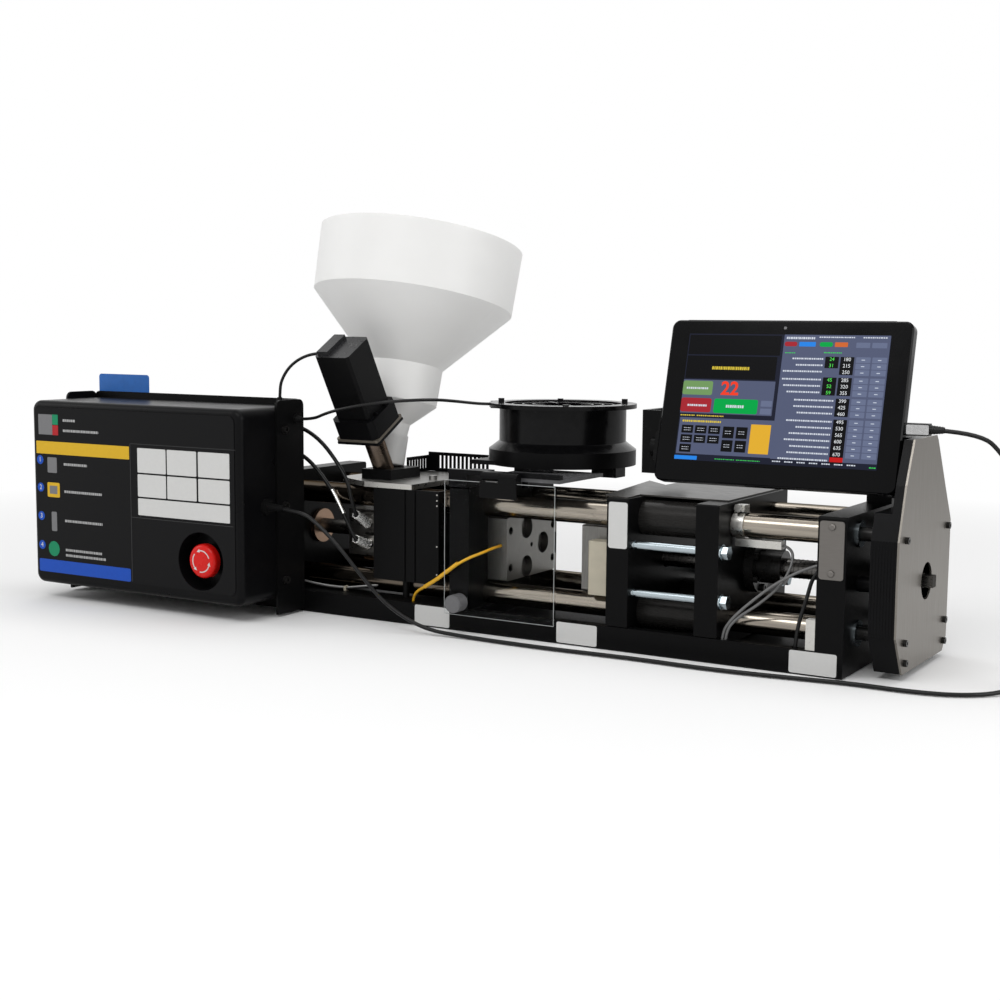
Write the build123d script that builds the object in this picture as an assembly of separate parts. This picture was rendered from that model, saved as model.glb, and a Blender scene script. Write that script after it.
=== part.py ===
# Desktop injection moulding machine: horizontal clamp on the right, injection unit on the left,
# control box in front of the injection unit, operator tablet above the clamp.
# Millimetres. X runs along the machine, towards the clamp drive. The front faces -Y. Z is up.
# The origin is on the underside of the base plate, below the machine axis.
import math
import os

from build123d import *

os.makedirs("parts", exist_ok=True)

# Clearances between pieces
SEAT = 0.02
RUN = 0.05
GAP = 0.3

# Base plate and machine axis
BASE_L = 1010.0
BASE_W = 194.0
BASE_T = 25.4
AXIS_Z = 90.0
POCKET_FLOOR = 12.7
RIM = 12.0
FRONT = -BASE_W / 2
BACK = BASE_W / 2

# Plates across the base, left face of each
PLATE_T = 25.4
PLATE_TOP = 163.0
END_T = 29.0
END_X = BASE_L / 2 - END_T
STATIONARY_X = 48.0
MOVING_X = 245.0
CARRIAGE_X = 346.5
END_TOP = 160.0
GUIDE_X = -232.4
REAR_X = 95.0 - BASE_L / 2
POCKET_LEFT = STATIONARY_X + PLATE_T + 4
POCKET_RIGHT = END_X - 4

# Tie rods
ROD_D = 25.4
ROD_Y = 55.0
ROD_Z = 50.0
SLEEVE_D = 38.0
SPIGOT_D = 12.7
ROD_SEAT_CLAMP = 12.0
ROD_SEAT_INJECTION = 8.0
ROD_SEAT_END = 20.0
BOLT_D = 10.0
PLATE_SCREW_Y = 34.0
BOLT_HEAD_D = 14.0
BOLT_HEAD_L = 15.0
WASHER_D = 27.0
WASHER_T = 2.0

# Clamp drive
SCREW_D = 20.0
SCREW_JOURNAL_D = 15.0
NUT_D = 36.0
NUT_FLANGE_D = 58.0
NUT_FLANGE_T = 10.0
NUT_REACH = 26.0
NUT_SCREW_CIRCLE_R = 23.5
SQUARE = 12.0
COVER_GAP = 24.0
COVER_DEPTH = 26.0
COVER_WALL = 3.0
COVER_X = END_X + END_T + COVER_GAP
PLATE_X = COVER_X + COVER_DEPTH
STEEL_PLATE_T = 2.0
NOTCH_X = COVER_X + 17.0
MOTOR_Y = 8.0
MOTOR_Z = 207.0
MOTOR_SIDE = 62.0
MOTOR_LEFT = COVER_X - 136.0
BELT_X = PLATE_X - 15.0
BELT_W = 9.0
BELT_T = 1.5
SCREW_PULLEY_R = 30.0
MOTOR_PULLEY_R = 14.0

# Outline of the drive cover, seen from the right: Y and Z pairs
COVER_OUTLINE = [
    (-98.0, 46.0), (-99.0, 100.0), (-98.0, 140.0), (-80.0, 193.0), (-58.0, 236.0), (19.0, 236.0),
    (24.5, 230.5), (58.5, 180.0), (83.4, 144.0), (83.0, 20.0), (69.5, 6.0), (-74.0, 7.0),
]
# Strip in front of the cover that its ribs leave free
RIB_GROOVE = [(-110.0, 30.0), (-110.0, 160.0), (-97.2, 140.0), (-97.9, 100.0), (-97.2, 46.0), (-90.0, 30.0)]
COVER_SCREWS = [(-77.0, 139.8), (70.6, 138.8), (-71.2, 38.3), (-68.5, 18.0), (70.3, 39.2), (69.9, 16.8)]

# Moulds
MOULD_W = 112.0
MOULD_H = 72.0
FIXED_MOULD_T = 25.4
MOVING_MOULD_T = 50.8
CAVITY_R = 12.5
CAVITY_DEPTH = 8.0

# Injection unit
BARREL_D = 44.0
BARREL_LEFT = -145.0
FEED_X = -84.0
FEED_Y = -8.0
FEED_TOP = 118.0
PLUNGER_D = 18.0
CROSSHEAD_X = REAR_X + PLATE_T + 4.6
CROSSHEAD_T = 25.4
RAM_HOUSING_L = 61.0
RAM_BORE_L = RAM_HOUSING_L - 2.5
INJECTION_SCREW_D = 16.0
INJECTION_MOTOR_SIDE = 60.0
INJECTION_MOTOR_L = 88.0

# Shroud round the heated barrel
SHROUD_LEFT = -71.0
SHROUD_RIGHT = 20.0
SHROUD_FRONT = -77.0
SHROUD_BACK = 77.0
SHROUD_BOTTOM = 45.0
TOP_PLATE_RIGHT = -16.0
TOP_PLATE_Z = 153.0
TOP_PLATE_T = 6.0

# Feeder and hopper
FEEDER_FACE = (-86.0, -76.8, 243.3)
FEEDER_LEAN = 30.0
FEEDER_SIDE = 47.0
FEEDER_L = 84.0
FLANGE_SIDE = 58.0
FLANGE_T = 28.0
AUGER_R = 7.5
AUGER_BORE_R = 8.0
AUGER_BORE_END = 92.0
RIM_CENTRE = (-89.0, 51.0, 443.0)
HOPPER_TILT_X = 1.5
HOPPER_TILT_Y = 12.7
HOPPER_RIM_R = 124.0
HOPPER_WALL = 3.0
SPOUT_R = 14.5
SPOUT_END = 262.0

# Fan
FAN_X = 113.5
FAN_Y = 44.5
FAN_LOW = 199.7
FAN_TOP = 252.7
FAN_FLANGE_D = 172.0
FAN_BODY_D = 148.0
FAN_FLARE = 9.0
FAN_POSTS = ((31, 5.0), (121, 1.5), (211, 5.0), (301, 1.5))
FAN_PLATE_LOW = 182.0
FAN_PLATE_T = 5.0

# Guard
PANE_LEFT = 50.0
PANE_RIGHT = 190.0
PANE_T = 4.0
PANE_Y = -109.0
PANE_BOTTOM = 21.0
KNOB_FRONT = PANE_Y - PANE_T / 2 - 16
HINGE_X = 97.0
HINGE_Y = -107.0
HINGE_Z = 178.0
HINGE_R = 5.0
KNUCKLE_L = 23.0
PIN_R = 1.5
GUARD_TOP_Z = 174.0

# Control box
CHASSIS_T = 3.0
CHASSIS_LOW = 3.0
FLANGE_DEPTH = 47.0
BOX_LEFT = 10.0 - BASE_L / 2
BOX_RIGHT = -161.0
BOX_BACK = FRONT - CHASSIS_T
BOX_FRONT = BOX_BACK - 107.5
BOX_LOW = 20.0
BOX_TOP = 246.0
CHASSIS_TOP = BOX_TOP + 8
BOX_WALL = 4.0
CHASSIS_SCREW_X = (BOX_RIGHT - 17, -330.0, BOX_LEFT + 20)
CHASSIS_SCREW_Z = 9.0
FLANGE_SCREW_Y = BOX_BACK - 34
FLANGE_SCREW_Z = (220.0, 131.0, 43.0)
FLANGE_SCREW_D = 5.0
SMALL_GLAND_R = 4.0
ESTOP_X = BOX_RIGHT - 61
ESTOP_Z = 68.5
WELL_R = 34.0
WELL_DEPTH = 23.0
WELL_FLOOR = BOX_FRONT + WELL_DEPTH
ESTOP_TRAVEL = 6.0
GLAND_Y = BOX_BACK - 64
GLAND_Z = 132.0

# Cable glands of the box: one on its right flange, two on its back and one on its top
FAN_GLAND = (BOX_BACK - 12, BOX_TOP - 15)
BACK_GLANDS = [(BOX_RIGHT - 29, 221.0), (BOX_RIGHT - 29, 190.0)]
TOP_GLAND = (BOX_RIGHT - 18, BOX_BACK - 15)

# Tablet
TABLET_W = 260.0
TABLET_H = 174.0
TABLET_T = 12.0
TABLET_CENTRE = (410.2, -33.1, 263.9)
TABLET_LEAN = 14.5
SCREEN_W = 217.0
SCREEN_H = 136.0
SCREEN_UP = 4.0
TILT_PIVOT_Y = -17.0
TILT_PIVOT_Z = 212.0


def block(x0, x1, y0, y1, z0, z1):
    centre = Pos((x0 + x1) / 2, (y0 + y1) / 2, (z0 + z1) / 2)
    return centre * Box(x1 - x0, y1 - y0, z1 - z0)


def rod_x(radius, x0, x1, y, z):
    return Pos((x0 + x1) / 2, y, z) * Rot(0, 90, 0) * Cylinder(radius, x1 - x0)


def rod_y(radius, y0, y1, x, z):
    return Pos(x, (y0 + y1) / 2, z) * Rot(90, 0, 0) * Cylinder(radius, y1 - y0)


def rod_z(radius, z0, z1, x, y):
    return Pos(x, y, (z0 + z1) / 2) * Cylinder(radius, z1 - z0)


def hex_x(flats, x0, x1, y, z):
    face = Plane.YZ.offset(x0) * Pos(y, z) * RegularPolygon(flats / 2, 6, major_radius=False)
    return extrude(face, x1 - x0)


def prism_x(points, x0, x1):
    outline = Plane.YZ.offset(x0) * Polygon(*points, align=None)
    return extrude(outline, x1 - x0, dir=(1, 0, 0))


def rod_places():
    return [(y, AXIS_Z + z) for z in (ROD_Z, -ROD_Z) for y in (-ROD_Y, ROD_Y)]


def edges_along(shape, axis):
    return shape.edges().filter_by(axis)


def save(shape, name):
    export_step(shape, "parts/" + name + ".step")


def group(pieces):
    return Compound(children=list(pieces))


# Base, fixed plates and tie rods
def base_plate():
    plate = block(-BASE_L / 2, BASE_L / 2, FRONT, BACK, 0, BASE_T)
    for x0, x1 in ((POCKET_LEFT, POCKET_RIGHT), (REAR_X + PLATE_T + 2, GUIDE_X - 2)):
        pocket = block(x0, x1, FRONT + RIM, BACK - RIM, POCKET_FLOOR, BASE_T + 1)
        plate -= fillet(edges_along(pocket, Axis.Z), 6)
    for x, y, r in ((376.5, FRONT + 6.5, 4.5), (453.0, FRONT + 8.0, 3.5), (-10.0, FRONT + 12, 4.0)):
        plate -= rod_z(r, -1, BASE_T + 1, x, y)
    for x in (STATIONARY_X, END_X, GUIDE_X, REAR_X):
        for y in (-PLATE_SCREW_Y, PLATE_SCREW_Y):
            plate -= rod_z(4.5, -1, BASE_T + 1, x + PLATE_T / 2, y)
            plate -= rod_z(7.5, -1, 9, x + PLATE_T / 2, y)
    for x in CHASSIS_SCREW_X:
        plate -= rod_y(2.5 + SEAT, FRONT - 1, FRONT + 9, x, CHASSIS_SCREW_Z)
    return chamfer(plate.faces().sort_by(Axis.Z)[0].outer_wire().edges(), 1)


def fixed_plate(x, thickness, top):
    plate = block(x, x + thickness, FRONT, BACK, BASE_T, top)
    plate = chamfer(edges_along(plate, Axis.X).group_by(Axis.Z)[-1], 2)
    for y in (-PLATE_SCREW_Y, PLATE_SCREW_Y):
        plate -= rod_z(3.5, BASE_T - 1, BASE_T + 18, x + PLATE_T / 2, y)
    return plate


def bore_rods(plate, x0, x1, radius):
    for y, z in rod_places():
        plate -= rod_x(radius, x0, x1, y, z)
    return plate


def stationary_platen():
    plate = fixed_plate(STATIONARY_X, PLATE_T, PLATE_TOP)
    right = STATIONARY_X + PLATE_T
    plate = bore_rods(plate, right - ROD_SEAT_CLAMP, right + 1, ROD_D / 2 + SEAT)
    plate = bore_rods(plate, STATIONARY_X - 1, STATIONARY_X + ROD_SEAT_INJECTION, ROD_D / 2 + SEAT)
    plate = bore_rods(plate, STATIONARY_X, right, SPIGOT_D / 2 + SEAT)
    return plate - rod_x(BARREL_D / 2 + SEAT, STATIONARY_X - 1, right + 1, 0, AXIS_Z)


def end_block():
    plate = fixed_plate(END_X, END_T, END_TOP)
    plate = bore_rods(plate, END_X - 1, END_X + ROD_SEAT_END, ROD_D / 2 + SEAT)
    plate = bore_rods(plate, END_X, END_X + END_T + 1, BOLT_D / 2 + 0.5)
    plate -= rod_x(21 + SEAT, END_X + 6, END_X + END_T + 1, 0, AXIS_Z)
    return plate - rod_x(SCREW_D / 2 + 2, END_X - 1, END_X + 7, 0, AXIS_Z)


def injection_guide_plate():
    plate = fixed_plate(GUIDE_X, PLATE_T, PLATE_TOP)
    plate = bore_rods(plate, GUIDE_X - 1, GUIDE_X + PLATE_T + 1, ROD_D / 2 + SEAT)
    return plate - rod_x(14 + SEAT, GUIDE_X - 1, GUIDE_X + PLATE_T + 1, 0, AXIS_Z)


def injection_rear_plate():
    plate = fixed_plate(REAR_X, PLATE_T, PLATE_TOP)
    plate = bore_rods(plate, REAR_X + 8, REAR_X + PLATE_T + 1, ROD_D / 2 + SEAT)
    plate = bore_rods(plate, REAR_X - 1, REAR_X + 9, BOLT_D / 2 + 0.5)
    return plate - rod_x(14, REAR_X - 1, REAR_X + PLATE_T + 1, 0, AXIS_Z)


def clamp_tie_rods():
    x0 = STATIONARY_X + PLATE_T - ROD_SEAT_CLAMP
    x1 = END_X + ROD_SEAT_END
    rods = []
    for y, z in rod_places():
        rod = rod_x(ROD_D / 2, x0, x1, y, z)
        rod += rod_x(SPIGOT_D / 2, STATIONARY_X + ROD_SEAT_INJECTION - 18, x0, y, z)
        rods.append(rod - rod_x(BOLT_D / 2 + SEAT, x1 - 25, x1, y, z))
    return group(rods)


def injection_tie_rods():
    x0 = REAR_X + 8
    x1 = STATIONARY_X + ROD_SEAT_INJECTION
    rods = []
    for y, z in rod_places():
        rod = rod_x(ROD_D / 2, x0, x1, y, z)
        rod -= rod_x(SPIGOT_D / 2 + SEAT, x1 - 20, x1, y, z)
        rods.append(rod - rod_x(BOLT_D / 2 + SEAT, x0, x0 + 25, y, z))
    return group(rods)


def socket_screw(face_x, side, y, z, thread, depth, head_d, head_l, socket):
    shank = rod_x(thread / 2, min(face_x, face_x - side * depth), max(face_x, face_x - side * depth), y, z)
    top = face_x + side * head_l
    head = rod_x(head_d / 2, min(face_x, top), max(face_x, top), y, z)
    low = top - side * head_l * 0.5
    return shank + head - hex_x(socket, min(low, top + side), max(low, top + side), y, z)


def washer(x0, x1, outer, inner, y, z):
    return rod_x(outer / 2, x0, x1, y, z) - rod_x(inner / 2, x0 - 1, x1 + 1, y, z)


def inset(points, amount):
    centre_y = sum(p[0] for p in points) / len(points)
    centre_z = sum(p[1] for p in points) / len(points)
    moved = []
    for y, z in points:
        length = math.hypot(y - centre_y, z - centre_z)
        scale = (length - amount) / length
        moved.append((centre_y + (y - centre_y) * scale, centre_z + (z - centre_z) * scale))
    return moved


def frame_fasteners():
    pieces = []
    end = END_X + END_T
    for y, z in rod_places():
        pieces.append(washer(end, end + WASHER_T, WASHER_D, BOLT_D + 0.4, y, z))
        depth = WASHER_T + END_T - ROD_SEAT_END + 22
        pieces.append(socket_screw(end + WASHER_T, 1, y, z, BOLT_D, depth, BOLT_HEAD_D, BOLT_HEAD_L, 8))
        pieces.append(socket_screw(REAR_X, -1, y, z, BOLT_D, 30, BOLT_HEAD_D, 10, 8))
    for y, z in COVER_SCREWS:
        pieces.append(socket_screw(PLATE_X + STEEL_PLATE_T, 1, y, z, 4, 10, 7, 3.5, 3))
    for x in (STATIONARY_X, END_X, GUIDE_X, REAR_X):
        for y in (-PLATE_SCREW_Y, PLATE_SCREW_Y):
            head = rod_z(6.5, 1, 9, x + PLATE_T / 2, y)
            pieces.append(head + rod_z(3.5 - SEAT, 9, BASE_T + 16, x + PLATE_T / 2, y))
    for z in FLANGE_SCREW_Z:
        for x, side in ((BOX_RIGHT + CHASSIS_T, 1), (BOX_LEFT - CHASSIS_T, -1)):
            pieces.append(socket_screw(x, side, FLANGE_SCREW_Y, z, FLANGE_SCREW_D, 6, 9, 5, 4))
    pieces.append(block(END_X - 10, END_X, FRONT + 1, FRONT + RIM - 1, BASE_T, BASE_T + 30.6))
    for x in CHASSIS_SCREW_X:
        head = rod_y(4.5, FRONT - CHASSIS_T - 5, FRONT - CHASSIS_T, x, CHASSIS_SCREW_Z)
        pieces.append(head + rod_y(2.5, FRONT - CHASSIS_T, FRONT + 8, x, CHASSIS_SCREW_Z))
    return group(pieces)


# Clamp drive
def drive_cover():
    body = prism_x(inset(COVER_OUTLINE, 0.6), COVER_X, PLATE_X)
    cavity = prism_x(inset(COVER_OUTLINE, 9.0), COVER_X + COVER_WALL, PLATE_X + 1)
    cavity -= block(COVER_X, NOTCH_X + COVER_WALL, -120, -22, 163, 250)
    body -= cavity
    body -= block(COVER_X - 1, NOTCH_X, -120, -25, 166, 250)
    for y, z in COVER_SCREWS:
        boss = rod_x(6, COVER_X + 1, PLATE_X, y, z) & prism_x(inset(COVER_OUTLINE, 0.6), COVER_X, PLATE_X)
        body += boss
        body -= rod_x(2 + SEAT, PLATE_X - 9, PLATE_X + 1, y, z)
    body -= rod_x(14, COVER_X - 1, COVER_X + COVER_WALL + 1, 0, AXIS_Z)
    body -= rod_x(11, COVER_X - 1, COVER_X + COVER_WALL + 1, MOTOR_Y, MOTOR_Z)
    for index in range(8):
        x = COVER_X + 2.0 + index * 3.0
        body -= prism_x(RIB_GROOVE, x, x + 1.2)
    for y, z in ((-ROD_Y, AXIS_Z), (ROD_Y, AXIS_Z), (0, 30)):
        body += rod_x(8, END_X + END_T, COVER_X + 0.5, y, z)
    return body


def drive_cover_plate():
    plate = prism_x(COVER_OUTLINE, PLATE_X, PLATE_X + STEEL_PLATE_T)
    for y, z in COVER_SCREWS:
        plate -= rod_x(2.3, PLATE_X - 1, PLATE_X + STEEL_PLATE_T + 1, y, z)
    return plate - rod_x(19, PLATE_X - 1, PLATE_X + STEEL_PLATE_T + 1, 0, AXIS_Z)


def clamp_motor():
    right = COVER_X
    body = block(MOTOR_LEFT, right - 8, MOTOR_Y - MOTOR_SIDE / 2, MOTOR_Y + MOTOR_SIDE / 2,
                 MOTOR_Z - MOTOR_SIDE / 2, MOTOR_Z + MOTOR_SIDE / 2)
    body = chamfer(edges_along(body, Axis.X), 5)
    flange = block(right - 8, right, MOTOR_Y - 33, MOTOR_Y + 33, MOTOR_Z - 33, MOTOR_Z + 33)
    body += flange
    body += rod_x(10.9, right, right + 2, MOTOR_Y, MOTOR_Z)
    body += block(MOTOR_LEFT + 8, MOTOR_LEFT + 30, MOTOR_Y - 10, MOTOR_Y + 10,
                  MOTOR_Z + MOTOR_SIDE / 2, MOTOR_Z + MOTOR_SIDE / 2 + 9)
    return body - rod_x(6 + RUN, right - 30, right + 3, MOTOR_Y, MOTOR_Z)


def motor_pulley():
    pulley = rod_x(6, COVER_X - 28, BELT_X + BELT_W / 2 + 2, MOTOR_Y, MOTOR_Z)
    pulley += rod_x(MOTOR_PULLEY_R - SEAT, BELT_X - BELT_W / 2 - 1, BELT_X + BELT_W / 2 + 1, MOTOR_Y, MOTOR_Z)
    for x in (BELT_X - BELT_W / 2 - 2, BELT_X + BELT_W / 2 + 1):
        pulley += rod_x(MOTOR_PULLEY_R + 3, x, x + 1, MOTOR_Y, MOTOR_Z)
    return pulley


def screw_pulley():
    pulley = rod_x(SCREW_PULLEY_R - SEAT, BELT_X - BELT_W / 2 - 1, BELT_X + BELT_W / 2 + 1, 0, AXIS_Z)
    for x in (BELT_X - BELT_W / 2 - 2, BELT_X + BELT_W / 2 + 1):
        pulley += rod_x(SCREW_PULLEY_R + 3, x, x + 1, 0, AXIS_Z)
    return pulley - rod_x(SCREW_JOURNAL_D / 2 + SEAT, BELT_X - 10, BELT_X + 10, 0, AXIS_Z)


def belt_loop(extra):
    big = Pos(0, AXIS_Z) * Circle(SCREW_PULLEY_R + extra)
    small = Pos(MOTOR_Y, MOTOR_Z) * Circle(MOTOR_PULLEY_R + extra)
    return Plane.YZ.offset(BELT_X - BELT_W / 2) * make_hull(big.edges() + small.edges())


def drive_belt():
    return extrude(belt_loop(BELT_T) - belt_loop(0), BELT_W)


def screw_bearing():
    ring = rod_x(21, END_X + 6, END_X + END_T, 0, AXIS_Z)
    return ring - rod_x(SCREW_JOURNAL_D / 2 + RUN, END_X, END_X + END_T + 1, 0, AXIS_Z)


def clamp_ball_screw():
    left = MOVING_X + PLATE_T - 8
    screw = rod_x(SCREW_D / 2, left, END_X + 5.7, 0, AXIS_Z)
    screw += rod_x(SCREW_JOURNAL_D / 2, END_X + 5.7, PLATE_X - 1, 0, AXIS_Z)
    screw += block(PLATE_X - 1, PLATE_X + 10, -SQUARE / 2, SQUARE / 2, AXIS_Z - SQUARE / 2, AXIS_Z + SQUARE / 2)
    return chamfer(screw.faces().sort_by(Axis.X)[0].edges(), 1)


# Moving carriage of the clamp
def carriage_blank(x):
    plate = block(x, x + PLATE_T, FRONT, BACK, BASE_T + 1, PLATE_TOP)
    plate += block(x, x + PLATE_T, FRONT + RIM + 4, BACK - RIM - 4, POCKET_FLOOR + 2, BASE_T + 1)
    return chamfer(edges_along(plate, Axis.X).group_by(Axis.Z)[-1], 1.5)


def moving_platen():
    plate = carriage_blank(MOVING_X)
    plate = bore_rods(plate, MOVING_X - 1, MOVING_X + PLATE_T + 1, ROD_D / 2 + RUN)
    plate = bore_rods(plate, MOVING_X + PLATE_T - 5, MOVING_X + PLATE_T + 1, SLEEVE_D / 2 + SEAT)
    plate -= rod_x(SCREW_D / 2 + 1.5, MOVING_X + PLATE_T - 12, MOVING_X + PLATE_T + 1, 0, AXIS_Z)
    for y, z in stud_places():
        plate -= rod_x(4 + SEAT, MOVING_X + PLATE_T - 15, MOVING_X + PLATE_T + 1, y, z)
    return plate


def carriage_plate():
    plate = carriage_blank(CARRIAGE_X)
    plate = bore_rods(plate, CARRIAGE_X - 1, CARRIAGE_X + PLATE_T + 1, ROD_D / 2 + RUN)
    plate = bore_rods(plate, CARRIAGE_X - 1, CARRIAGE_X + 5, SLEEVE_D / 2 + SEAT)
    plate -= rod_x(NUT_D / 2 + SEAT, CARRIAGE_X - 1, CARRIAGE_X + PLATE_T + 1, 0, AXIS_Z)
    for y, z in stud_places():
        plate -= rod_x(4 + SEAT, CARRIAGE_X - 1, CARRIAGE_X + PLATE_T + 1, y, z)
    return plate


def stud_places():
    return [(side * 88.0, z) for side in (-1, 1) for z in (114.0, 63.0)]


def guide_sleeves():
    pieces = []
    for y, z in rod_places():
        tube = rod_x(SLEEVE_D / 2, MOVING_X + PLATE_T - 5, CARRIAGE_X + 5, y, z)
        pieces.append(tube - rod_x(ROD_D / 2 + RUN, MOVING_X, CARRIAGE_X + 10, y, z))
    return group(pieces)


def spacer_studs():
    pieces = []
    right = CARRIAGE_X + PLATE_T
    for y, z in stud_places():
        stud = rod_x(4.75, MOVING_X + PLATE_T + 8, CARRIAGE_X, y, z)
        stud += rod_x(3.6, MOVING_X + PLATE_T + 4, MOVING_X + PLATE_T + 8, y, z)
        stud += rod_x(4.75, MOVING_X + PLATE_T, MOVING_X + PLATE_T + 4, y, z)
        stud += rod_x(4, MOVING_X + PLATE_T - 14, right, y, z)
        stud += rod_x(8.5, right, right + 1.5, y, z)
        stud += hex_x(13, right + 1.5, right + 8.5, y, z)
        pieces.append(stud)
    return group(pieces)


def ball_nut():
    right = CARRIAGE_X + PLATE_T
    flange = right + NUT_FLANGE_T
    nut = rod_x(NUT_D / 2, CARRIAGE_X, flange + NUT_REACH, 0, AXIS_Z)
    nut += rod_x(NUT_FLANGE_D / 2, right, flange, 0, AXIS_Z)
    for turn in range(6):
        angle = math.radians(30 + turn * 60)
        y = NUT_SCREW_CIRCLE_R * math.cos(angle)
        z = AXIS_Z + NUT_SCREW_CIRCLE_R * math.sin(angle)
        nut += rod_x(4, flange, flange + 4, y, z)
        nut -= hex_x(4, flange + 2, flange + 5, y, z)
    return nut - rod_x(SCREW_D / 2 + RUN, CARRIAGE_X - 1, flange + NUT_REACH + 1, 0, AXIS_Z)


def mould_block(x0, x1):
    blank = block(x0, x1, -MOULD_W / 2, MOULD_W / 2, AXIS_Z - MOULD_H / 2, AXIS_Z + MOULD_H / 2)
    return chamfer(edges_along(blank, Axis.X), 1)


def cavity_places():
    return [(-11.0, 111.0), (-11.0, 66.0), (27.0, 89.5)]


def dowel_places():
    return [(-47.5, 111.0), (-47.5, 68.5), (50.0, 68.8), (50.0, 108.2)]


def fixed_mould_half():
    x0 = STATIONARY_X + PLATE_T
    x1 = x0 + FIXED_MOULD_T
    half = mould_block(x0, x1)
    for y, z in cavity_places():
        half -= rod_x(CAVITY_R, x1 - CAVITY_DEPTH, x1 + 1, y, z)
    for y, z in dowel_places():
        half -= rod_x(4.5, x1 - 14, x1 + 1, y, z)
    half -= rod_x(2.8, x0 - 1, x1 + 1, 0, AXIS_Z)
    half -= rod_y(3, -MOULD_W / 2 - 1, -MOULD_W / 2 + 30, x0 + 16, 94)
    return half


def moving_mould_half():
    x0 = MOVING_X - MOVING_MOULD_T
    half = mould_block(x0, MOVING_X)
    for y, z in cavity_places():
        half -= rod_x(CAVITY_R, x0 - 1, x0 + CAVITY_DEPTH, y, z)
    for y, z in dowel_places():
        half -= rod_x(4.5, x0 - 1, x0 + 14, y, z)
    return half


def mould_side_bracket():
    bracket = block(MOVING_X - 33, MOVING_X, -76, -MOULD_W / 2 - GAP, 53.5, 112)
    bracket -= block(MOVING_X - 34, MOVING_X - 6, -70, -MOULD_W / 2 + 1, 58, 106)
    bracket = chamfer(edges_along(bracket, Axis.Z).group_by(Axis.X)[0], 1.5)
    for z in (66.0, 82.0, 98.0):
        bracket += rod_y(3, -79, -75.5, MOVING_X - 5, z)
    return bracket


def carriage_cover():
    points = [(MOVING_X - 8.6, -84.0), (MOVING_X - 34, 78.0), (MOVING_X + 15, 32.0), (MOVING_X + 23, -96.0)]
    sheet = extrude(Plane.XY.offset(PLATE_TOP) * Polygon(*points, align=None), 1.5, dir=(0, 0, 1))
    rear = block(MOVING_X + 2, CARRIAGE_X + 20, -60, 92, PLATE_TOP, PLATE_TOP + 1.5)
    return sheet + rear


# Injection unit
def barrel():
    right = STATIONARY_X + PLATE_T
    body = rod_x(BARREL_D / 2, -70, right, 0, AXIS_Z)
    body += block(BARREL_LEFT, -66, -25, 25, 62, FEED_TOP)
    body -= rod_x(PLUNGER_D / 2 + RUN, BARREL_LEFT - 1, right - 22, 0, AXIS_Z)
    body -= rod_x(2.5, right - 30, right + 1, 0, AXIS_Z)
    return body - rod_z(7, AXIS_Z, FEED_TOP + 1, FEED_X, FEED_Y)


def heater_bands():
    pieces = []
    for x in (-62.0, -40.0):
        band = rod_x(BARREL_D / 2 + 4, x, x + 20, 0, AXIS_Z)
        band -= rod_x(BARREL_D / 2 + SEAT, x - 1, x + 21, 0, AXIS_Z)
        band += block(x + 3, x + 17, -8, 8, AXIS_Z - BARREL_D / 2 - 12, AXIS_Z - BARREL_D / 2 - 3)
        band -= block(x - 1, x + 21, -1, 1, AXIS_Z - BARREL_D / 2 - 14, AXIS_Z - BARREL_D / 2 + 1)
        pieces.append(band)
    for z in (106.0, 80.0):
        pieces.append(block(-112, -92, -45, -25, z - 10, z + 10))
    return group(pieces)


def plunger_bushing():
    right = GUIDE_X + PLATE_T
    bush = rod_x(14, GUIDE_X + 2, right, 0, AXIS_Z) + rod_x(21, right, right + 5, 0, AXIS_Z)
    return bush - rod_x(PLUNGER_D / 2 + RUN, GUIDE_X, right + 6, 0, AXIS_Z)


def plunger_crosshead():
    x1 = CROSSHEAD_X + CROSSHEAD_T
    head = BACK - RIM - 7
    foot = BACK - RIM - 11
    plate = block(CROSSHEAD_X, x1, -head, head, BASE_T + 1, PLATE_TOP - 3)
    plate += block(CROSSHEAD_X, x1, -foot, foot, POCKET_FLOOR + 2, BASE_T + 1)
    plate = bore_rods(plate, CROSSHEAD_X - 1, x1 + 1, ROD_D / 2 + RUN)
    plate -= rod_x(INJECTION_SCREW_D / 2 + RUN, CROSSHEAD_X - 1, x1 + 1, 0, AXIS_Z)
    plate += rod_x(20, x1, x1 + RAM_HOUSING_L, 0, AXIS_Z)
    plate -= rod_x(10, x1, x1 + RAM_BORE_L, 0, AXIS_Z)
    ram = rod_x(PLUNGER_D / 2, x1 + RAM_HOUSING_L, BARREL_LEFT + 30, 0, AXIS_Z)
    return group([plate, ram])


def injection_screw():
    x0 = REAR_X - 22
    screw = rod_x(6, x0, REAR_X + 2, 0, AXIS_Z)
    screw += rod_x(INJECTION_SCREW_D / 2, REAR_X + 2, CROSSHEAD_X + CROSSHEAD_T + RAM_BORE_L - 2, 0, AXIS_Z)
    return screw


def injection_motor():
    half = INJECTION_MOTOR_SIDE / 2
    body = block(REAR_X - INJECTION_MOTOR_L, REAR_X, -half, half, AXIS_Z - half, AXIS_Z + half)
    body = chamfer(edges_along(body, Axis.X), 4)
    return body - rod_x(6 + RUN, REAR_X - 26, REAR_X + 1, 0, AXIS_Z)


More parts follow.
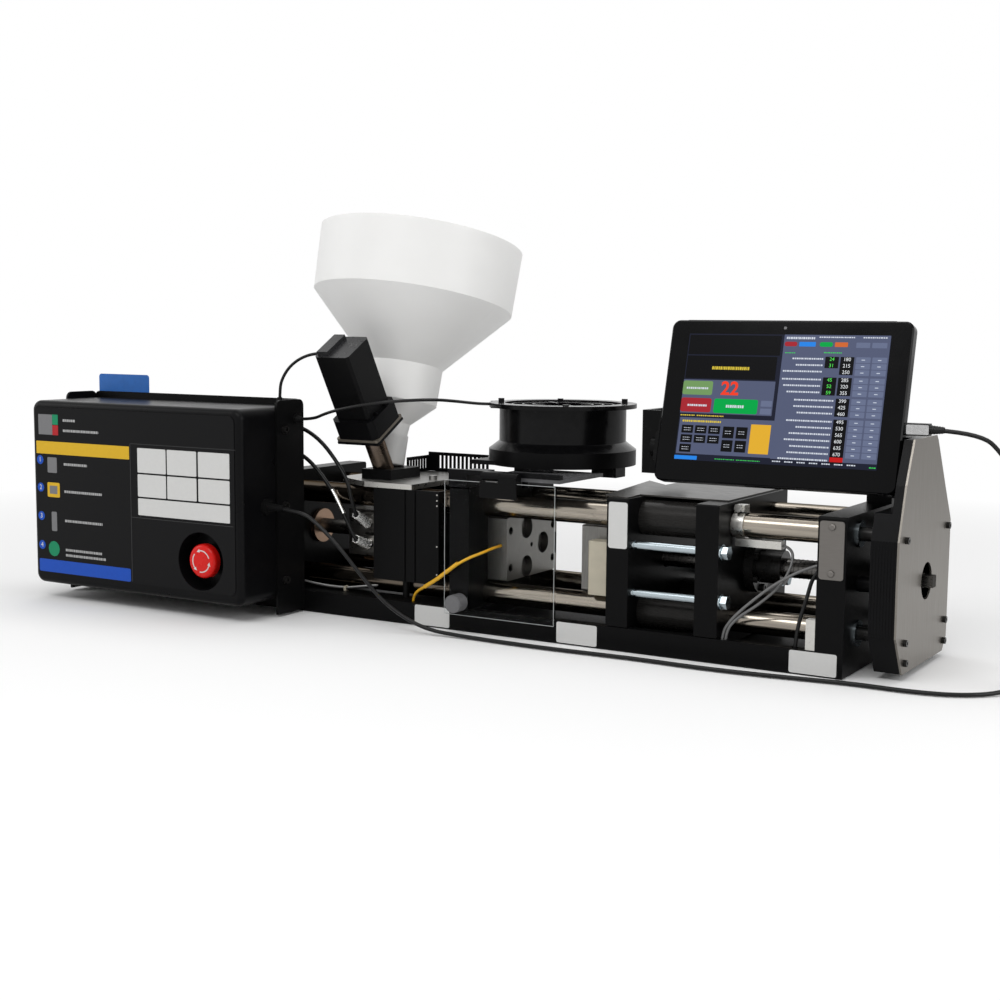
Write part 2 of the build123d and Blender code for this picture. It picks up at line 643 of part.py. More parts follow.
# Shroud, top plate and heat shield
def shroud():
    outer = block(SHROUD_LEFT, SHROUD_RIGHT, SHROUD_FRONT, SHROUD_BACK, SHROUD_BOTTOM, TOP_PLATE_Z)
    shell = outer - block(SHROUD_LEFT - 1, SHROUD_RIGHT - 2, SHROUD_FRONT + 2, SHROUD_BACK - 2,
                          SHROUD_BOTTOM + 2, TOP_PLATE_Z + 1)
    shell -= rod_x(BARREL_D / 2 + 5, SHROUD_RIGHT - 5, SHROUD_RIGHT + 1, 0, AXIS_Z)
    for y, z in rod_places():
        shell -= rod_x(ROD_D / 2 + 1, SHROUD_LEFT - 5, SHROUD_RIGHT + 1, y, z)
    for x in (-28.0, -14.0):
        shell += block(x, x + 2, SHROUD_FRONT - 1.5, SHROUD_FRONT + 0.5, SHROUD_BOTTOM, TOP_PLATE_Z)
    for y in (-71.0, 71.0):
        for z in (66.0, 104.0, 112.0, 126.0, 138.0):
            shell += rod_x(2, SHROUD_RIGHT - 0.5, SHROUD_RIGHT + 2, y, z)
    for y in (-72.0, 72.0):
        shell += rod_z(4, BASE_T, SHROUD_BOTTOM + 0.5, -28, y)
    return shell


def shroud_top_plate():
    x1 = TOP_PLATE_RIGHT
    points = [(-83.0, -79.0), (x1, -79.0), (x1, 76.0), (-140.0, 76.0), (-140.0, -44.0), (-118.0, -60.0)]
    plate = extrude(Plane.XY.offset(TOP_PLATE_Z) * Polygon(*points, align=None), TOP_PLATE_T, dir=(0, 0, 1))
    plate -= rod_z(15 + GAP, TOP_PLATE_Z - 1, TOP_PLATE_Z + TOP_PLATE_T + 1, FEED_X, FEED_Y)
    for x, y in ((-29.0, -14.0), (-29.0, 60.0), (-130.0, 60.0)):
        plate += rod_z(5, TOP_PLATE_Z + TOP_PLATE_T - 0.5, TOP_PLATE_Z + TOP_PLATE_T + 5, x, y)
    return plate


def heat_shield():
    low = TOP_PLATE_Z + TOP_PLATE_T
    panel = block(-86, -8, 93.0 - 16, 94.5 - 16, TOP_PLATE_Z, low + 24)
    wing = block(-96, -94.5, 28, 78.5, low, low + 20)
    panel = panel - block(-87, TOP_PLATE_RIGHT + GAP, 70, 77.0, TOP_PLATE_Z - 1, low)
    for index in range(12):
        x = -80.0 + index * 6.0
        panel -= block(x, x + 3, 70, 84, low + 4, low + 20)
    top = block(-96, -8, 76.9, 78.5, low + 20, low + 24)
    wing += block(-96, -86, 77, 78.5, low, low + 24)
    for index in range(7):
        y = 32.0 + index * 6.0
        wing -= block(-98, -92, y, y + 3, low + 4, low + 16)
    return panel + wing + top


# Feeder and hopper
def feeder_frame(distance):
    lean = math.radians(FEEDER_LEAN)
    y = FEEDER_FACE[1] + distance * math.sin(lean)
    z = FEEDER_FACE[2] - distance * math.cos(lean)
    return Pos(FEEDER_FACE[0], y, z) * Rot(FEEDER_LEAN, 0, 0)


def feeder_slab(d0, d1, side):
    return feeder_frame((d0 + d1) / 2) * Box(side, side, d1 - d0)


def feeder_rod(d0, d1, radius):
    return feeder_frame((d0 + d1) / 2) * Cylinder(radius, d1 - d0)


def feeder_motor():
    body = feeder_slab(-FEEDER_L, 0, FEEDER_SIDE)
    body = chamfer(body.edges().group_by(SortBy.LENGTH)[-1], 3)
    body += feeder_frame(-FEEDER_L - 2.5) * Pos(-13, 0, 0) * Box(15, FEEDER_SIDE - 8, 5.2)
    return body - feeder_rod(-20, 1, 2.5 + RUN)


def feeder_flange_block():
    body = feeder_slab(0, FLANGE_T, FLANGE_SIDE)
    body = chamfer(body.edges().group_by(SortBy.LENGTH)[0], 6)
    plate = feeder_slab(FLANGE_T, FLANGE_T + 3, FLANGE_SIDE)
    bore = feeder_rod(-1, FLANGE_T + 4, AUGER_BORE_R + RUN)
    pieces = [body - bore, plate - bore]
    corner = FLANGE_SIDE / 2 - 3.5
    for x, y in ((-corner, 10), (corner, 10), (corner, -10), (-corner, -10)):
        pieces.append(feeder_frame(-1.5) * Pos(x, y, 0) * Cylinder(1.8, 3))
    return group(pieces)


def feeder_auger():
    auger = feeder_rod(-18, FLANGE_T, 2.5) + feeder_rod(0.3, AUGER_BORE_END - 1, 3.5)
    for index in range(11):
        low = FLANGE_T + 4 + index * 5.5
        auger += feeder_rod(low, low + 2, AUGER_R)
    return auger


def hopper_frame():
    return Pos(*RIM_CENTRE) * Rot(-HOPPER_TILT_Y, HOPPER_TILT_X, 0)


def hopper_profile(shift):
    r = HOPPER_RIM_R - shift
    points = [
        (0, 0.0), (r, 0.0), (r - 2.5, -77.0), (48.0 - shift, -155.0), (47.0 - shift, -200.0),
        (SPOUT_R - shift + 4, -226.0), (SPOUT_R - shift, -SPOUT_END), (0, -SPOUT_END),
    ]
    return Polygon(*points, align=None)


def hopper():
    outer = revolve(Plane.XZ * hopper_profile(0), Axis.Z)
    inner = revolve(Plane.XZ * hopper_profile(HOPPER_WALL), Axis.Z)
    body = outer - inner
    return hopper_frame() * body


def between(start, end, radius):
    axis = Vector(*end) - Vector(*start)
    plane = Plane(origin=start, z_dir=axis)
    return extrude(plane * Circle(radius), axis.length)


def feed_neck():
    low = FEED_TOP
    flange_z = TOP_PLATE_Z + TOP_PLATE_T
    neck = rod_z(15, low, flange_z + 12, FEED_X, FEED_Y)
    neck += feeder_rod(FLANGE_T + 3, AUGER_BORE_END - 4, 12)
    neck += hopper_frame() * Pos(0, 0, -(SPOUT_END - 4)) * Cylinder(SPOUT_R + 4, 36)
    neck += block(FEED_X - 22, FEED_X + 20, -52, 10, flange_z, flange_z + 12)
    neck -= hopper_frame() * revolve(Plane.XZ * hopper_profile(-GAP), Axis.Z)
    neck -= feeder_rod(FLANGE_T, AUGER_BORE_END, AUGER_BORE_R)
    neck -= between((FEEDER_FACE[0], -32, flange_z + 6), (FEED_X, FEED_Y, flange_z + 4), 4)
    neck -= rod_z(7, low - 1, flange_z + 8, FEED_X, FEED_Y)
    return neck - between((-96, -8, 190), (FEED_X, FEED_Y, flange_z), 7)


# Fan over the mould area
def fan_ring(outer, inner, z0, z1):
    return rod_z(outer, z0, z1, FAN_X, FAN_Y) - rod_z(inner, z0 - 1, z1 + 1, FAN_X, FAN_Y)


def fan_housing():
    body = fan_ring(FAN_BODY_D / 2, 68, FAN_LOW, FAN_TOP)
    body += fan_ring(FAN_FLANGE_D / 2, 68, FAN_TOP - 5, FAN_TOP)
    flare = Cone(FAN_FLANGE_D / 2, FAN_BODY_D / 2, FAN_FLARE) - Cylinder(68, FAN_FLARE + 2)
    body += Pos(FAN_X, FAN_Y, FAN_LOW + FAN_FLARE / 2) * flare
    for z in (FAN_LOW + 1.5, FAN_TOP - 3):
        for radius in (60, 48, 36):
            body += fan_ring(radius, radius - 2, z, z + 1.5)
        for turn in range(4):
            place = Pos(FAN_X, FAN_Y, z + 0.75) * Rot(0, 0, 45 + turn * 90)
            body += place * Pos(46, 0, 0) * Box(46, 3, 1.5)
    body += rod_z(25, FAN_LOW + 1, FAN_LOW + 8, FAN_X, FAN_Y)
    body += block(24, 40, 29, 43, 244, FAN_TOP)
    for turn, height in FAN_POSTS:
        x = FAN_X + 72 * math.cos(math.radians(turn))
        y = FAN_Y + 72 * math.sin(math.radians(turn))
        body += rod_z(3.5, FAN_TOP - 0.5, FAN_TOP + height, x, y)
    return body - rod_z(3 + RUN, FAN_LOW, FAN_LOW + 9, FAN_X, FAN_Y)


def fan_impeller():
    hub = rod_z(24, FAN_LOW + 9, FAN_TOP - 6, FAN_X, FAN_Y)
    hub += rod_z(3, FAN_LOW + 1.5, FAN_LOW + 10, FAN_X, FAN_Y)
    for turn in range(7):
        blade = Pos(FAN_X, FAN_Y, (FAN_LOW + FAN_TOP) / 2 + 2) * Rot(0, 0, turn * 360 / 7)
        hub += blade * Pos(44, 0, 0) * Rot(35, 0, 0) * Box(44, 26, 2.5)
    return hub


def fan_mount_plate():
    z0 = FAN_PLATE_LOW
    z1 = z0 + FAN_PLATE_T
    plate = rod_z(FAN_FLANGE_D / 2, z0, z1, FAN_X, FAN_Y)
    plate += block(31, 162, -25, 131, z0, z1)
    plate += fan_ring(FAN_FLANGE_D / 2, 68, z1 - 0.5, FAN_LOW)
    plate -= rod_z(68, z0 - 1, FAN_LOW + 1, FAN_X, FAN_Y)
    plate += block(STATIONARY_X, STATIONARY_X + PLATE_T - 0.4, 45, BACK, PLATE_TOP, z0 + 0.5)
    plate += block(165, 196, 20, 44, z0 - 11, z0 + 0.5)
    plate += block(163, 184, 20, 44, z0 - 0.5, z1)
    plate += rod_y(5, 18, 46, 190, z0 - 5)
    return plate


# Guard
def guard_top():
    sheet = block(PANE_LEFT + 44, PANE_RIGHT, HINGE_Y + 6, 0, GUARD_TOP_Z, GUARD_TOP_Z + PANE_T)
    mount = block(STATIONARY_X, PANE_LEFT + 22, -100, -60, PLATE_TOP, GUARD_TOP_Z + PANE_T)
    bar = block(STATIONARY_X, PANE_RIGHT, HINGE_Y + 5.5, -94, GUARD_TOP_Z + PANE_T, GUARD_TOP_Z + PANE_T + 5)
    bar += block(PANE_LEFT + 20, PANE_LEFT + 46, -94.5, -80, GUARD_TOP_Z + PANE_T, GUARD_TOP_Z + PANE_T + 5)
    hinge = mount + bar
    x1 = HINGE_X + KNUCKLE_L
    hinge += rod_x(HINGE_R, HINGE_X, x1, HINGE_Y, HINGE_Z)
    hinge += block(HINGE_X, x1, HINGE_Y, HINGE_Y + 6, HINGE_Z, GUARD_TOP_Z + PANE_T + 5)
    hinge -= rod_x(PIN_R + RUN, HINGE_X - 1, x1 + 1, HINGE_Y, HINGE_Z)
    hinge -= block(PANE_LEFT + 43.9, PANE_RIGHT + 1, HINGE_Y + 5.9, 1, GUARD_TOP_Z, GUARD_TOP_Z + PANE_T)
    bumper = rod_z(4, GUARD_TOP_Z - 8, GUARD_TOP_Z, 140, -88)
    return group([sheet, hinge, bumper])


def guard_pane():
    pane = block(PANE_LEFT, PANE_RIGHT, PANE_Y - PANE_T / 2, PANE_Y + PANE_T / 2, PANE_BOTTOM, HINGE_Z - 6)
    front = PANE_Y - PANE_T / 2
    x1 = HINGE_X + KNUCKLE_L
    x2 = x1 + KNUCKLE_L
    hinge = rod_x(HINGE_R, x1 + 0.5, x2, HINGE_Y, HINGE_Z)
    hinge += block(HINGE_X, x2, front - 3, front, HINGE_Z - 23, HINGE_Z - HINGE_R - 1)
    hinge += block(x1 + 0.5, x2, front - 3, HINGE_Y, HINGE_Z - 7, HINGE_Z + 1)
    hinge += rod_x(PIN_R, HINGE_X, x1 + 1, HINGE_Y, HINGE_Z)
    knob = rod_y(10, KNOB_FRONT, PANE_Y - PANE_T / 2, PANE_LEFT + 21, PANE_BOTTOM + 15)
    return group([pane, knob, hinge - pane])


# Control box
def control_box_shell():
    body = block(BOX_LEFT, BOX_RIGHT, BOX_FRONT, BOX_BACK, BOX_LOW, BOX_TOP)
    body = fillet(edges_along(body, Axis.Y), 12)
    body = fillet(body.faces().sort_by(Axis.Y)[0].outer_wire().edges(), 7)
    inner = block(BOX_LEFT + BOX_WALL, BOX_RIGHT - BOX_WALL, BOX_FRONT + BOX_WALL, BOX_BACK + 1,
                  BOX_LOW + BOX_WALL, BOX_TOP - BOX_WALL)
    body -= fillet(edges_along(inner, Axis.Y), 9)
    body += rod_y(WELL_R + 3, BOX_FRONT + 2, WELL_FLOOR + 3, ESTOP_X, ESTOP_Z)
    body -= rod_y(WELL_R, BOX_FRONT - 1, WELL_FLOOR, ESTOP_X, ESTOP_Z)
    body -= rod_y(11 + SEAT, BOX_FRONT - 1, WELL_FLOOR + 4, ESTOP_X, ESTOP_Z)
    body -= rod_x(8 + SEAT, BOX_RIGHT - 10, BOX_RIGHT + 5, GLAND_Y, GLAND_Z)
    for z in FLANGE_SCREW_Z:
        body -= rod_x(FLANGE_SCREW_D / 2 + SEAT, BOX_RIGHT - 10, BOX_RIGHT + 5, FLANGE_SCREW_Y, z)
        body -= rod_x(FLANGE_SCREW_D / 2 + SEAT, BOX_LEFT - 5, BOX_LEFT + 10, FLANGE_SCREW_Y, z)
    body -= rod_x(SMALL_GLAND_R + SEAT, BOX_RIGHT - 10, BOX_RIGHT + 5, *FAN_GLAND)
    return body - rod_z(SMALL_GLAND_R + SEAT, BOX_TOP - 10, BOX_TOP + 1, *TOP_GLAND)


def control_box_chassis():
    back = block(BOX_LEFT, BOX_RIGHT, BOX_BACK, FRONT, CHASSIS_LOW, CHASSIS_TOP)
    back = fillet(edges_along(back, Axis.Y).group_by(Axis.Z)[-1], 8)
    flanges = Part()
    for x in (BOX_LEFT - CHASSIS_T, BOX_RIGHT):
        flange = block(x, x + CHASSIS_T, BOX_BACK - FLANGE_DEPTH, FRONT, CHASSIS_LOW, CHASSIS_TOP)
        flanges += fillet(edges_along(flange, Axis.X).group_by(Axis.Z)[-1], 8)
    body = back + flanges
    for z in FLANGE_SCREW_Z:
        hole = FLANGE_SCREW_D / 2 + 0.1
        body -= rod_x(hole, BOX_RIGHT - 1, BOX_RIGHT + CHASSIS_T + 1, FLANGE_SCREW_Y, z)
        body -= rod_x(hole, BOX_LEFT - CHASSIS_T - 1, BOX_LEFT + 1, FLANGE_SCREW_Y, z)
    body -= rod_x(SMALL_GLAND_R + SEAT, BOX_RIGHT - 1, BOX_RIGHT + CHASSIS_T + 1, *FAN_GLAND)
    for x, z in BACK_GLANDS:
        body -= rod_y(SMALL_GLAND_R + SEAT, BOX_BACK - 1, FRONT + 1, x, z)
    for x in CHASSIS_SCREW_X:
        body -= rod_y(2.6, BOX_BACK - 1, FRONT + 1, x, CHASSIS_SCREW_Z)
    return body


def control_panel():
    sheet = block(BOX_LEFT + 8, BOX_RIGHT - 9, BOX_FRONT - 0.8, BOX_FRONT, BOX_LOW + 13, BOX_TOP - 8)
    sheet = fillet(edges_along(sheet, Axis.Y), 8)
    return sheet - rod_y(WELL_R, BOX_FRONT - 2, BOX_FRONT + 1, ESTOP_X, ESTOP_Z)


def estop_switch():
    floor = WELL_FLOOR
    ring = rod_y(16, floor - 6, floor, ESTOP_X, ESTOP_Z) + rod_y(11, floor, floor + 30, ESTOP_X, ESTOP_Z)
    ring += block(ESTOP_X - 15, ESTOP_X + 15, floor + 30, floor + 55, ESTOP_Z - 15, ESTOP_Z + 15)
    ring -= rod_y(5 + RUN, floor - 7, floor + 45, ESTOP_X, ESTOP_Z)
    return ring


def estop_button():
    face = WELL_FLOOR - 6
    head = rod_y(20, face - 17, face - ESTOP_TRAVEL - 0.4, ESTOP_X, ESTOP_Z)
    head = fillet(head.faces().sort_by(Axis.Y)[0].edges(), 5)
    return head + rod_y(5, face - 10, face + 24, ESTOP_X, ESTOP_Z)


def small_gland():
    body = rod_z(SMALL_GLAND_R, -6, 0, 0, 0) + rod_z(SMALL_GLAND_R + 2, 0, 3, 0, 0)
    return body + Pos(0, 0, 6.5) * Cone(SMALL_GLAND_R + 0.5, 2.8, 7)


def cable_glands():
    places = [
        (Pos(BOX_RIGHT + CHASSIS_T, *FAN_GLAND) * Rot(0, 90, 0), "fan"),
        (Pos(BACK_GLANDS[0][0], FRONT, BACK_GLANDS[0][1]) * Rot(-90, 0, 0), "heater_upper"),
        (Pos(BACK_GLANDS[1][0], FRONT, BACK_GLANDS[1][1]) * Rot(-90, 0, 0), "heater_lower"),
        (Pos(TOP_GLAND[0], TOP_GLAND[1], BOX_TOP), "feeder"),
    ]
    pieces = []
    for place, cord in places:
        gland = small_gland() - rod_z(CORDS[cord][0] + SEAT, -7, 16, 0, 0)
        pieces.append(place * gland)
    main = rod_x(8, BOX_RIGHT - 8, BOX_RIGHT, GLAND_Y, GLAND_Z)
    main += rod_x(9.5, BOX_RIGHT, BOX_RIGHT + 4, GLAND_Y, GLAND_Z)
    main += Pos(BOX_RIGHT + 15, GLAND_Y, GLAND_Z) * Rot(0, 90, 0) * Cone(5, 3, 22)
    pieces.append(main - rod_x(CORDS["usb"][0] + SEAT, BOX_RIGHT - 9, BOX_RIGHT + 27, GLAND_Y, GLAND_Z))
    return group(pieces)


def lifting_tag():
    tag = block(BOX_LEFT + 5, BOX_LEFT + 91, FRONT, FRONT + 1, BOX_TOP - 8, BOX_TOP + 30)
    return fillet(edges_along(tag, Axis.Y), 4)


# Operator tablet
def tablet_frame():
    return Pos(*TABLET_CENTRE) * Rot(-TABLET_LEAN, 0, 0)


def tablet():
    body = Box(TABLET_W, TABLET_T, TABLET_H)
    body = fillet(edges_along(body, Axis.Y), 9)
    body = chamfer(body.faces().sort_by(Axis.Y)[0].outer_wire().edges(), 1.5)
    place = Pos(0, -TABLET_T / 2, SCREEN_UP)
    body -= place * Box(SCREEN_W + 2 * SEAT, 1.0, SCREEN_H + 2 * SEAT)
    glass = place * Pos(0, 0.1, 0) * Box(SCREEN_W, 0.8 - SEAT, SCREEN_H)
    return group([tablet_frame() * body, tablet_frame() * glass])


def tablet_holder():
    back = TABLET_T / 2
    plate = Pos(-83, back + 1.5, -38) * Box(108, 3, 60)
    plate = fillet(plate.edges().filter_by(Axis.Y), 4)
    holder = tablet_frame() * plate
    for x in (271.0, 378.0):
        holder += rod_x(11, x, x + 4, TILT_PIVOT_Y, TILT_PIVOT_Z)
        holder += tablet_frame() * Pos(x + 2 - TABLET_CENTRE[0], back + 10, -48) * Box(4, 20, 30)
        holder -= rod_x(4 + RUN, x - 1, x + 5, TILT_PIVOT_Y, TILT_PIVOT_Z)
    rib = tablet_frame() * Pos(277 - TABLET_CENTRE[0], back + 3, -48) * Box(12, 6, 30)
    return holder + rib


def tablet_arm():
    bar_y = MOTOR_Y + 38
    arm = block(245, END_X + END_T, bar_y, bar_y + 8, 222, 246)
    arm += block(END_X + 2, END_X + END_T, bar_y, bar_y + 8, END_TOP, 230)
    arm += block(END_X + 2, END_X + END_T, bar_y, bar_y + 34, END_TOP, END_TOP + 6)
    left = block(245, 270.5, -15, bar_y + 1, 183, 252)
    left -= block(251, 271, -9, bar_y, 182, 253)
    arm += left
    arm += rod_y(8, -23, -14.5, 258, 212) + rod_y(4, -26, -22, 258, 212)
    right = block(383, 389, -28, bar_y + 1, 200, 246)
    right -= block(382, 390, -29, -20, 233, 247)
    arm += right
    arm += rod_x(4, 262, 275, TILT_PIVOT_Y, TILT_PIVOT_Z) + rod_x(11, 260, 270.5, TILT_PIVOT_Y, TILT_PIVOT_Z)
    arm += rod_x(4, 378, 389, TILT_PIVOT_Y, TILT_PIVOT_Z)
    return arm


def tablet_plugs():
    x0 = TABLET_CENTRE[0] + TABLET_W / 2
    usb = block(x0 + GAP, x0 + 24, -41, -29, 238.5, 250.5)
    usb = fillet(edges_along(usb, Axis.X), 2)
    usb += Pos(x0 + 31, -35, 244.5) * Rot(0, 90, 0) * Cone(4.5, 3, 14)
    usb -= rod_x(CORDS["usb"][0] + SEAT, x0 + 16, x0 + 39, -35, 244.5)
    return group([usb])


# Sensor, rating plate
def position_sensor():
    x0 = CARRIAGE_X + PLATE_T + 1
    y = -ROD_Y
    z = AXIS_Z + ROD_Z
    band = rod_x(ROD_D / 2 + 1.5, x0, x0 + 13, y, z) - rod_x(ROD_D / 2 + SEAT, x0 - 1, x0 + 14, y, z)
    worm = block(x0 + 1, x0 + 12, y - 7, y + 7, z + ROD_D / 2 + 1, z + ROD_D / 2 + 8)
    worm += rod_y(4, y - 12, y - 6, x0 + 6.5, z + ROD_D / 2 + 5)
    sensor = block(x0 + 2, x0 + 52, y - 5, y + 5, z - ROD_D / 2 - 9.5, z - ROD_D / 2 - 1.5)
    return group([band + worm, sensor])


def rating_plate():
    plate = block(END_X + 2, END_X + END_T - 2, FRONT - 1, FRONT, END_TOP - 62, END_TOP - 4)
    plate = fillet(edges_along(plate, Axis.Y), 3)
    pieces = [plate]
    for z in (END_TOP - 56, END_TOP - 10):
        head = rod_y(3.5, FRONT - 3.2, FRONT - 1, END_X + END_T / 2, z)
        pieces.append(fillet(head.faces().sort_by(Axis.Y)[0].edges(), 1.5))
    return group(pieces)


# Cords: tube radius, then the points of the route
PLUG_X = TABLET_CENTRE[0] + TABLET_W / 2
CORDS = {
    "usb": (2.2, [
        (BOX_RIGHT - 4, GLAND_Y, GLAND_Z), (-112, GLAND_Y, GLAND_Z), (-82, -163, 114), (-56, -160, 90),
        (-32, -153, 60), (-4, -145, 29), (38, -136, 6), (88, -131, 2.4), (140, -134, 2.4),
        (195, -135, 2.4), (250, -132, 2.4), (305, -130, 2.4), (360, -132.5, 2.4), (415, -130, 2.4),
        (470, -123, 2.4), (525, -115.5, 2.4), (576, -118, 2.4), (622, -108, 2.4), (654, -76, 2.4),
        (674, -44, 12), (684, -26, 46), (682, -22, 92), (674, -25, 138), (658, -30, 184),
        (636, -34, 222), (612, -35, 244.5), (PLUG_X + 16, -35, 244.5),
    ]),
    "fan": (1.8, [
        (BOX_RIGHT - 2, *FAN_GLAND), (-134, *FAN_GLAND), (-108, -119, 240), (-80, -123, 246.5),
        (-50, -124, 252), (-20, -119, 256), (4, -103, 258), (19, -80, 258), (25, -52, 255.5),
        (26, -22, 252.5), (26, 6, 250), (26, 29, 249),
    ]),
    "feeder": (1.8, [
        (TOP_GLAND[0], TOP_GLAND[1], BOX_TOP - 4), (TOP_GLAND[0], TOP_GLAND[1], 266), (-175, -115, 278),
        (-166, -115, 290), (-154, -115, 299), (-140, -115, 305), (-126, -115, 308), (-109.5, -115, 309),
    ]),
    "heater_upper": (2.4, [
        (-190, FRONT - 2, 221), (-190, -78, 221), (-174, -70, 215), (-148, -73, 201),
        (-122, -80, 180), (-104, -84, 160), (-101, -80, 138), (-101, -72, 119), (-102, -60, 106),
        (-102, -45.1, 106),
    ]),
    "heater_lower": (2.4, [
        (-190, FRONT - 2, 190), (-190, -78, 190), (-174, -71, 182), (-152, -70, 162),
        (-132, -70, 138), (-116, -71, 112), (-104, -70, 90), (-102, -60, 80), (-102, -45.1, 80),
    ]),
    "probe": (1.6, [
        (89.4, -40, 94), (89.4, -64, 94), (86, -86, 90), (74, -101, 84), (56, -102, 73), (34, -101, 57),
        (13, -97, 45), (-3, -89, 37), (-10, -85, 25), (-10, -85, 4),
    ]),
    "sensor": (1.5, [
        (425.3, -55, 121.5), (437, -58, 119.5), (440, -68, 104), (432, -76, 84), (412, -84, 64),
        (390, -90, 48), (378.4, -90.5, 32), (378.4, -90.5, 6),
    ]),
    "switch": (1.5, [
        (END_X - 1.5, -72, 109), (458, -76, 104), (430, -82, 88), (404, -87, 66), (384, -90.5, 46),
        (374.8, -90.5, 30), (374.8, -90.5, 6),
    ]),
    "ground": (2.0, [
        (END_X - 2, -80, 104), (467, -82, 98), (463, -86, 76), (456, -89, 50), (453, -89, 26), (453, -89, 6),
    ]),
}


def bend_radii(points):
    radii = []
    for before, here, after in zip(points, points[1:], points[2:]):
        first = Vector(*here) - Vector(*before)
        second = Vector(*after) - Vector(*here)
        turn = math.radians(first.get_angle(second))
        radii.append(0.45 * min(first.length, second.length) / math.tan(turn / 2))
    return radii


def cord(name):
    radius, points = CORDS[name]
    radii = bend_radii(points)
    route = FilletPolyline(*points, radius=radii)
    tube = sweep(Plane(origin=route @ 0, z_dir=route % 0) * Circle(radius), path=route)
    expected = math.pi * radius ** 2 * route.length
    print(name, "radii", [round(r) for r in radii], "volume share", round(tube.volume / expected, 4))
    return tube


def usb_cord():
    return cord("usb")


def box_cords():
    return group(cord(name) for name in ("fan", "feeder", "heater_upper", "heater_lower"))


def sensor_cords():
    return group(cord(name) for name in ("probe", "sensor", "switch", "ground"))


PARTS = {
    "base_plate": base_plate,
    "stationary_platen": stationary_platen,
    "end_block": end_block,
    "injection_guide_plate": injection_guide_plate,
    "injection_rear_plate": injection_rear_plate,
    "clamp_tie_rods": clamp_tie_rods,
    "injection_tie_rods": injection_tie_rods,
    "frame_fasteners": frame_fasteners,
    "drive_cover": drive_cover,
    "drive_cover_plate": drive_cover_plate,
    "clamp_motor": clamp_motor,
    "motor_pulley": motor_pulley,
    "screw_pulley": screw_pulley,
    "drive_belt": drive_belt,
    "screw_bearing": screw_bearing,
    "clamp_ball_screw": clamp_ball_screw,
    "moving_platen": moving_platen,
    "carriage_plate": carriage_plate,
    "guide_sleeves": guide_sleeves,
    "spacer_studs": spacer_studs,
    "ball_nut": ball_nut,
    "fixed_mould_half": fixed_mould_half,
    "moving_mould_half": moving_mould_half,
    "mould_side_bracket": mould_side_bracket,
    "carriage_cover": carriage_cover,
    "barrel": barrel,
    "heater_bands": heater_bands,
    "plunger_bushing": plunger_bushing,
    "plunger_crosshead": plunger_crosshead,
    "injection_screw": injection_screw,
    "injection_motor": injection_motor,
    "shroud": shroud,
    "shroud_top_plate": shroud_top_plate,
    "heat_shield": heat_shield,
    "feeder_motor": feeder_motor,
    "feeder_flange_block": feeder_flange_block,
    "feeder_auger": feeder_auger,
    "hopper": hopper,
    "feed_neck": feed_neck,
    "fan_housing": fan_housing,
    "fan_impeller": fan_impeller,
    "fan_mount_plate": fan_mount_plate,
    "guard_top": guard_top,
    "guard_pane": guard_pane,
    "control_box_shell": control_box_shell,
    "control_box_chassis": control_box_chassis,
    "control_panel": control_panel,
    "estop_switch": estop_switch,
    "estop_button": estop_button,
    "cable_glands": cable_glands,
    "lifting_tag": lifting_tag,
    "tablet_arm": tablet_arm,
    "tablet": tablet,
    "tablet_holder": tablet_holder,
    "tablet_plugs": tablet_plugs,
    "position_sensor": position_sensor,
    "rating_plate": rating_plate,
    "usb_cord": usb_cord,
    "box_cords": box_cords,
    "sensor_cords": sensor_cords,
}

for name, make in PARTS.items():
    save(make(), name)
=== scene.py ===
import math
import bpy
import bmesh
from mathutils import Matrix, Vector


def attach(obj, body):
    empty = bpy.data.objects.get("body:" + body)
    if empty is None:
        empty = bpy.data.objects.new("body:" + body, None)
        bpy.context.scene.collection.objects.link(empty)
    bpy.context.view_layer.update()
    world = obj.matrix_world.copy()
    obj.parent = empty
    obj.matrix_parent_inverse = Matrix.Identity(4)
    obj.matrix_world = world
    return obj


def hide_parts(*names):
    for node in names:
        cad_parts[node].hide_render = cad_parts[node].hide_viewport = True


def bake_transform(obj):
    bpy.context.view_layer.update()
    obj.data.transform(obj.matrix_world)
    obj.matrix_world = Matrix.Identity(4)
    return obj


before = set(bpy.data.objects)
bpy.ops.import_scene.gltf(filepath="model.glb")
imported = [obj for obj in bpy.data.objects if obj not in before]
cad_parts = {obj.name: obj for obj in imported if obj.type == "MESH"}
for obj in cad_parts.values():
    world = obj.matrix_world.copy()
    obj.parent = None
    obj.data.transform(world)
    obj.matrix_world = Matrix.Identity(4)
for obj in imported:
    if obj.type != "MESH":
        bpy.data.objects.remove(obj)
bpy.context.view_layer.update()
MM = 0.001

# Sizes shared with the solids, in millimetres
BASE_FRONT = -97.0
BOX_RIGHT = -161.0
BOX_TOP = 246.0
PANEL_FACE = -208.3
ESTOP_X, ESTOP_Z = -222.0, 68.5
ESTOP_FACE = -207.5
AXIS_Z = 90.0
TABLET_CENTRE = Vector((410.2, -33.1, 263.9))
TABLET_LEAN = math.radians(14.5)
TABLET_T = 12.0
SCREEN_W, SCREEN_H, SCREEN_UP = 217.0, 136.0, 4.0
SCREEN_FACE = -6.29
PANE_LEFT, PANE_RIGHT, PANE_LOW, PANE_TOP = 50.0, 190.0, 21.0, 172.0
PANE_FRONT = -111.0
FEEDER_FACE = Vector((-86.0, -76.8, 243.3))
FEEDER_LEAN = math.radians(30.0)
FEEDER_DOWN = Vector((0, math.sin(FEEDER_LEAN), -math.cos(FEEDER_LEAN)))
FEEDER_L, FLANGE_SIDE, FLANGE_T = 84.0, 58.0, 28.0
FEED_BLOCK_TOP = 171.0
SHROUD_FRONT = -77.0


